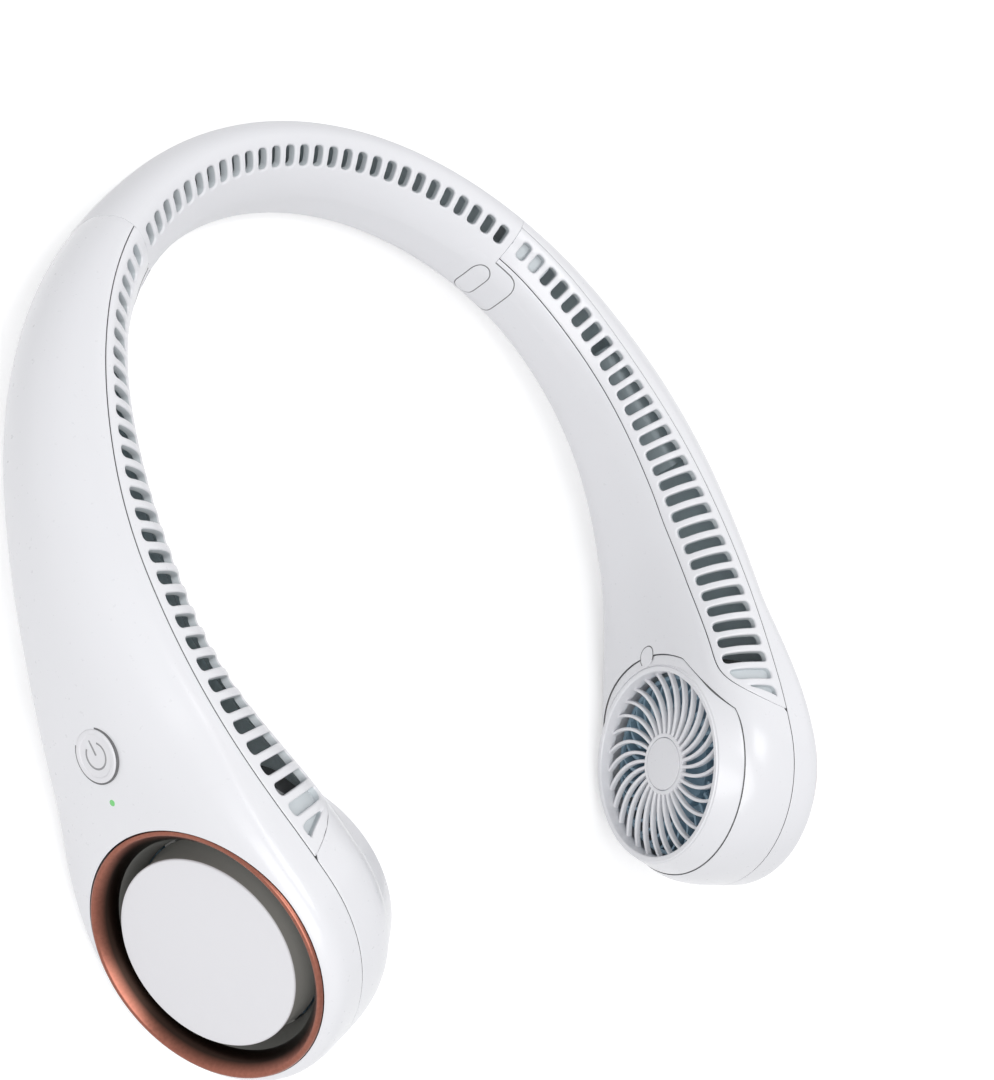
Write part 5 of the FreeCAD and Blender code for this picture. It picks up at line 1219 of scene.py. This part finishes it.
def dress_controls():
    """Button, its sign, the light and the charging socket's mouth on the left arm."""
    spot = FaceSpot(POD_STATION - BUTTON_SETBACK, BUTTON_HEIGHT)
    button = button_piece(spot).finish("round_button", [WHITE_DISC], True)
    settle(button, "button", "white_disc", "power_button")
    settle(sign_piece(spot).finish("power_sign", [SIGN_GREY], True), "button", "white_disc")
    settle(groove_piece(spot).finish("button_gap", [GAP_SHADE], True), "left_arm", "grey_plastic")
    lamp = FaceSpot(POD_STATION - LIGHT_SETBACK, LIGHT_HEIGHT)
    profile = [(POLE, -LIGHT_DEPTH), (LIGHT_RADIUS, -LIGHT_DEPTH), *LENS_CURVE]
    light = lamp.turned(profile, 32).finish("green_lens", [GREEN_LIGHT], True)
    settle(light, "left_arm", "green_light", "light_pipe")
    mouth = socket_mouth().finish("socket_mouth", [STEEL, GAP_SHADE], True)
    settle(mouth, "left_arm", "steel", "charging_socket")


def finish_inner_nodes():
    """Finishes on the CAD nodes that stay: motor, fan, board, cells and wires."""
    finishes = {
        # The band anchor under the first slots takes the slots' painted shade grey
        "band_anchor": SLOT_SHADE_GREY, "wire_end": WIRE, "band_wires": WIRE, "battery_cell": CELL_WRAP,
        "motor_bracket": GREY_THROAT, "bracket_screws": STEEL, "motor_bearings": BRASS,
        "stator_core": STEEL, "stator_coils": WINDING, "impeller": FAN_BLUE, "rotor_can": STEEL,
        "magnet_ring": MAGNET, "motor_shaft": STEEL, "main_board": BOARD, "tact_switch": BOARD_PART}
    for name, node in frame["nodes"].items():
        plain = name.replace("left_", "").replace("right_", "")
        if plain in finishes:
            node.data.materials.clear()
            node.data.materials.append(finishes[plain])


# Floor, light and camera

CAMERA_CENTRE = np.array([-297.8, -188.95, 288.4])
CAMERA_RIGHT = np.array([0.688, -0.356, 0.6324])
CAMERA_FORWARD = np.array([0.7163, 0.1931, -0.6706])
CAMERA_LENS, SENSOR_WIDTH, CLIP_NEAR, CLIP_FAR = 62.4, 36.0, 0.01, 20.0
FLOOR_REACH, FLOOR_GLOW, FAR_GLOW, GLOW_REACH = 6.0, 0.4, 0.68, (0.4, 1.6)
FLOOR_TONE, WORLD_TONE = (0.8, 0.8, 0.8, 1), (0.97, 0.98, 1.0, 1)
WORLD_LIGHT, BACKDROP = 0.41, 1.0
LAMP_TARGET = (0, 0, 0.02)
LAMPS = (("key_lamp", (-0.75, -0.35, 0.95), 0.9, 8.6), ("fill_lamp", (0.9, 0.5, 0.8), 0.9, 2.0),
         ("top_lamp", (0.1, 0.15, 1.2), 0.5, 3.4))


def aim(thing, centre, right, forward):
    """Places a camera or lamp from its centre and its right and forward directions."""
    forward = forward / np.linalg.norm(forward)
    right = right - forward * (right @ forward)
    right = right / np.linalg.norm(right)
    up = np.cross(right, forward)
    matrix = Matrix.Identity(4)
    for k, column in enumerate((right, up, -forward)):
        matrix.col[k][:3] = column
    matrix.col[3][:3] = centre
    thing.matrix_world = matrix


def add_camera():
    """Camera at the photograph's place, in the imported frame."""
    data = bpy.data.cameras.new("photo_camera")
    data.lens, data.sensor_width, data.sensor_fit = CAMERA_LENS, SENSOR_WIDTH, "AUTO"
    data.clip_start, data.clip_end = CLIP_NEAR, CLIP_FAR
    camera = bpy.data.objects.new("photo_camera", data)
    bpy.context.scene.collection.objects.link(camera)
    aim(camera, to_row(CAMERA_CENTRE), TURN @ CAMERA_RIGHT, TURN @ CAMERA_FORWARD)
    bpy.context.scene.camera = camera


def add_lamp(name, place, size, power):
    """Square soft lamp that faces the object."""
    data = bpy.data.lights.new(name, "AREA")
    data.shape, data.size, data.energy = "SQUARE", size, power
    lamp = bpy.data.objects.new(name, data)
    bpy.context.scene.collection.objects.link(lamp)
    forward = np.subtract(LAMP_TARGET, place)
    aim(lamp, place, np.cross(forward, [0.0, 0.0, 1.0]), forward)


def seen_rays(tree):
    """Output that is 1 for rays from the camera, from mirrors and through glass, and 0 for others."""
    path = add(tree, "ShaderNodeLightPath")
    first = add(tree, "ShaderNodeMath", operation="MAXIMUM")
    second = add(tree, "ShaderNodeMath", operation="MAXIMUM")
    tree.links.new(path.outputs["Is Camera Ray"], first.inputs[0])
    tree.links.new(path.outputs["Is Glossy Ray"], first.inputs[1])
    tree.links.new(first.outputs[0], second.inputs[0])
    tree.links.new(path.outputs["Is Transmission Ray"], second.inputs[1])
    return second.outputs[0]


def add_stage():
    """White floor that keeps a soft shadow: plain diffuse paint, with a little light of its own for rays
    from the camera, from mirrors and through glass, which grows where the lamps don't reach."""
    mesh = bpy.data.meshes.new("floor")
    corners = [(x * FLOOR_REACH, y * FLOOR_REACH, 0) for x, y in ((-1, -1), (1, -1), (1, 1), (-1, 1))]
    mesh.from_pydata(corners, [], [(0, 1, 2, 3)])
    floor = bpy.data.objects.new("floor", mesh)
    bpy.context.scene.collection.objects.link(floor)
    material = bpy.data.materials.new("white_floor")
    material.use_nodes = True
    tree = material.node_tree
    tree.nodes.clear()
    link = tree.links.new
    paint = add(tree, "ShaderNodeBsdfDiffuse", Color=FLOOR_TONE)
    glow = add(tree, "ShaderNodeEmission", Color=(1, 1, 1, 1))
    scale = add(tree, "ShaderNodeMath", operation="MULTIPLY")
    place = add(tree, "ShaderNodeTexCoord")
    way = add(tree, "ShaderNodeVectorMath", operation="LENGTH")
    total = add(tree, "ShaderNodeAddShader")
    out = add(tree, "ShaderNodeOutputMaterial")
    link(place.outputs["Object"], way.inputs[0])
    link(seen_rays(tree), scale.inputs[0])
    link(ranged(tree, way.outputs["Value"], FLOOR_GLOW, FAR_GLOW, GLOW_REACH), scale.inputs[1])
    link(scale.outputs[0], glow.inputs["Strength"])
    link(paint.outputs[0], total.inputs[0])
    link(glow.outputs[0], total.inputs[1])
    link(total.outputs[0], out.inputs["Surface"])
    mesh.materials.append(material)


def add_world():
    """Soft light from all round, with a white backdrop for the rays that see it."""
    world = bpy.data.worlds.new("studio")
    world.use_nodes = True
    tree = world.node_tree
    back = tree.nodes["Background"]
    back.inputs["Color"].default_value = WORLD_TONE
    tree.links.new(ranged(tree, seen_rays(tree), WORLD_LIGHT, BACKDROP), back.inputs["Strength"])
    bpy.context.scene.world = world
    bpy.context.scene.view_settings.view_transform = "Standard"


for side_name, flipped in (("right", False), ("left", True)):
    dress_arm(side_name, flipped)
dress_controls()
finish_inner_nodes()
add_stage()
add_world()
for lamp_values in LAMPS:
    add_lamp(*lamp_values)
add_camera()
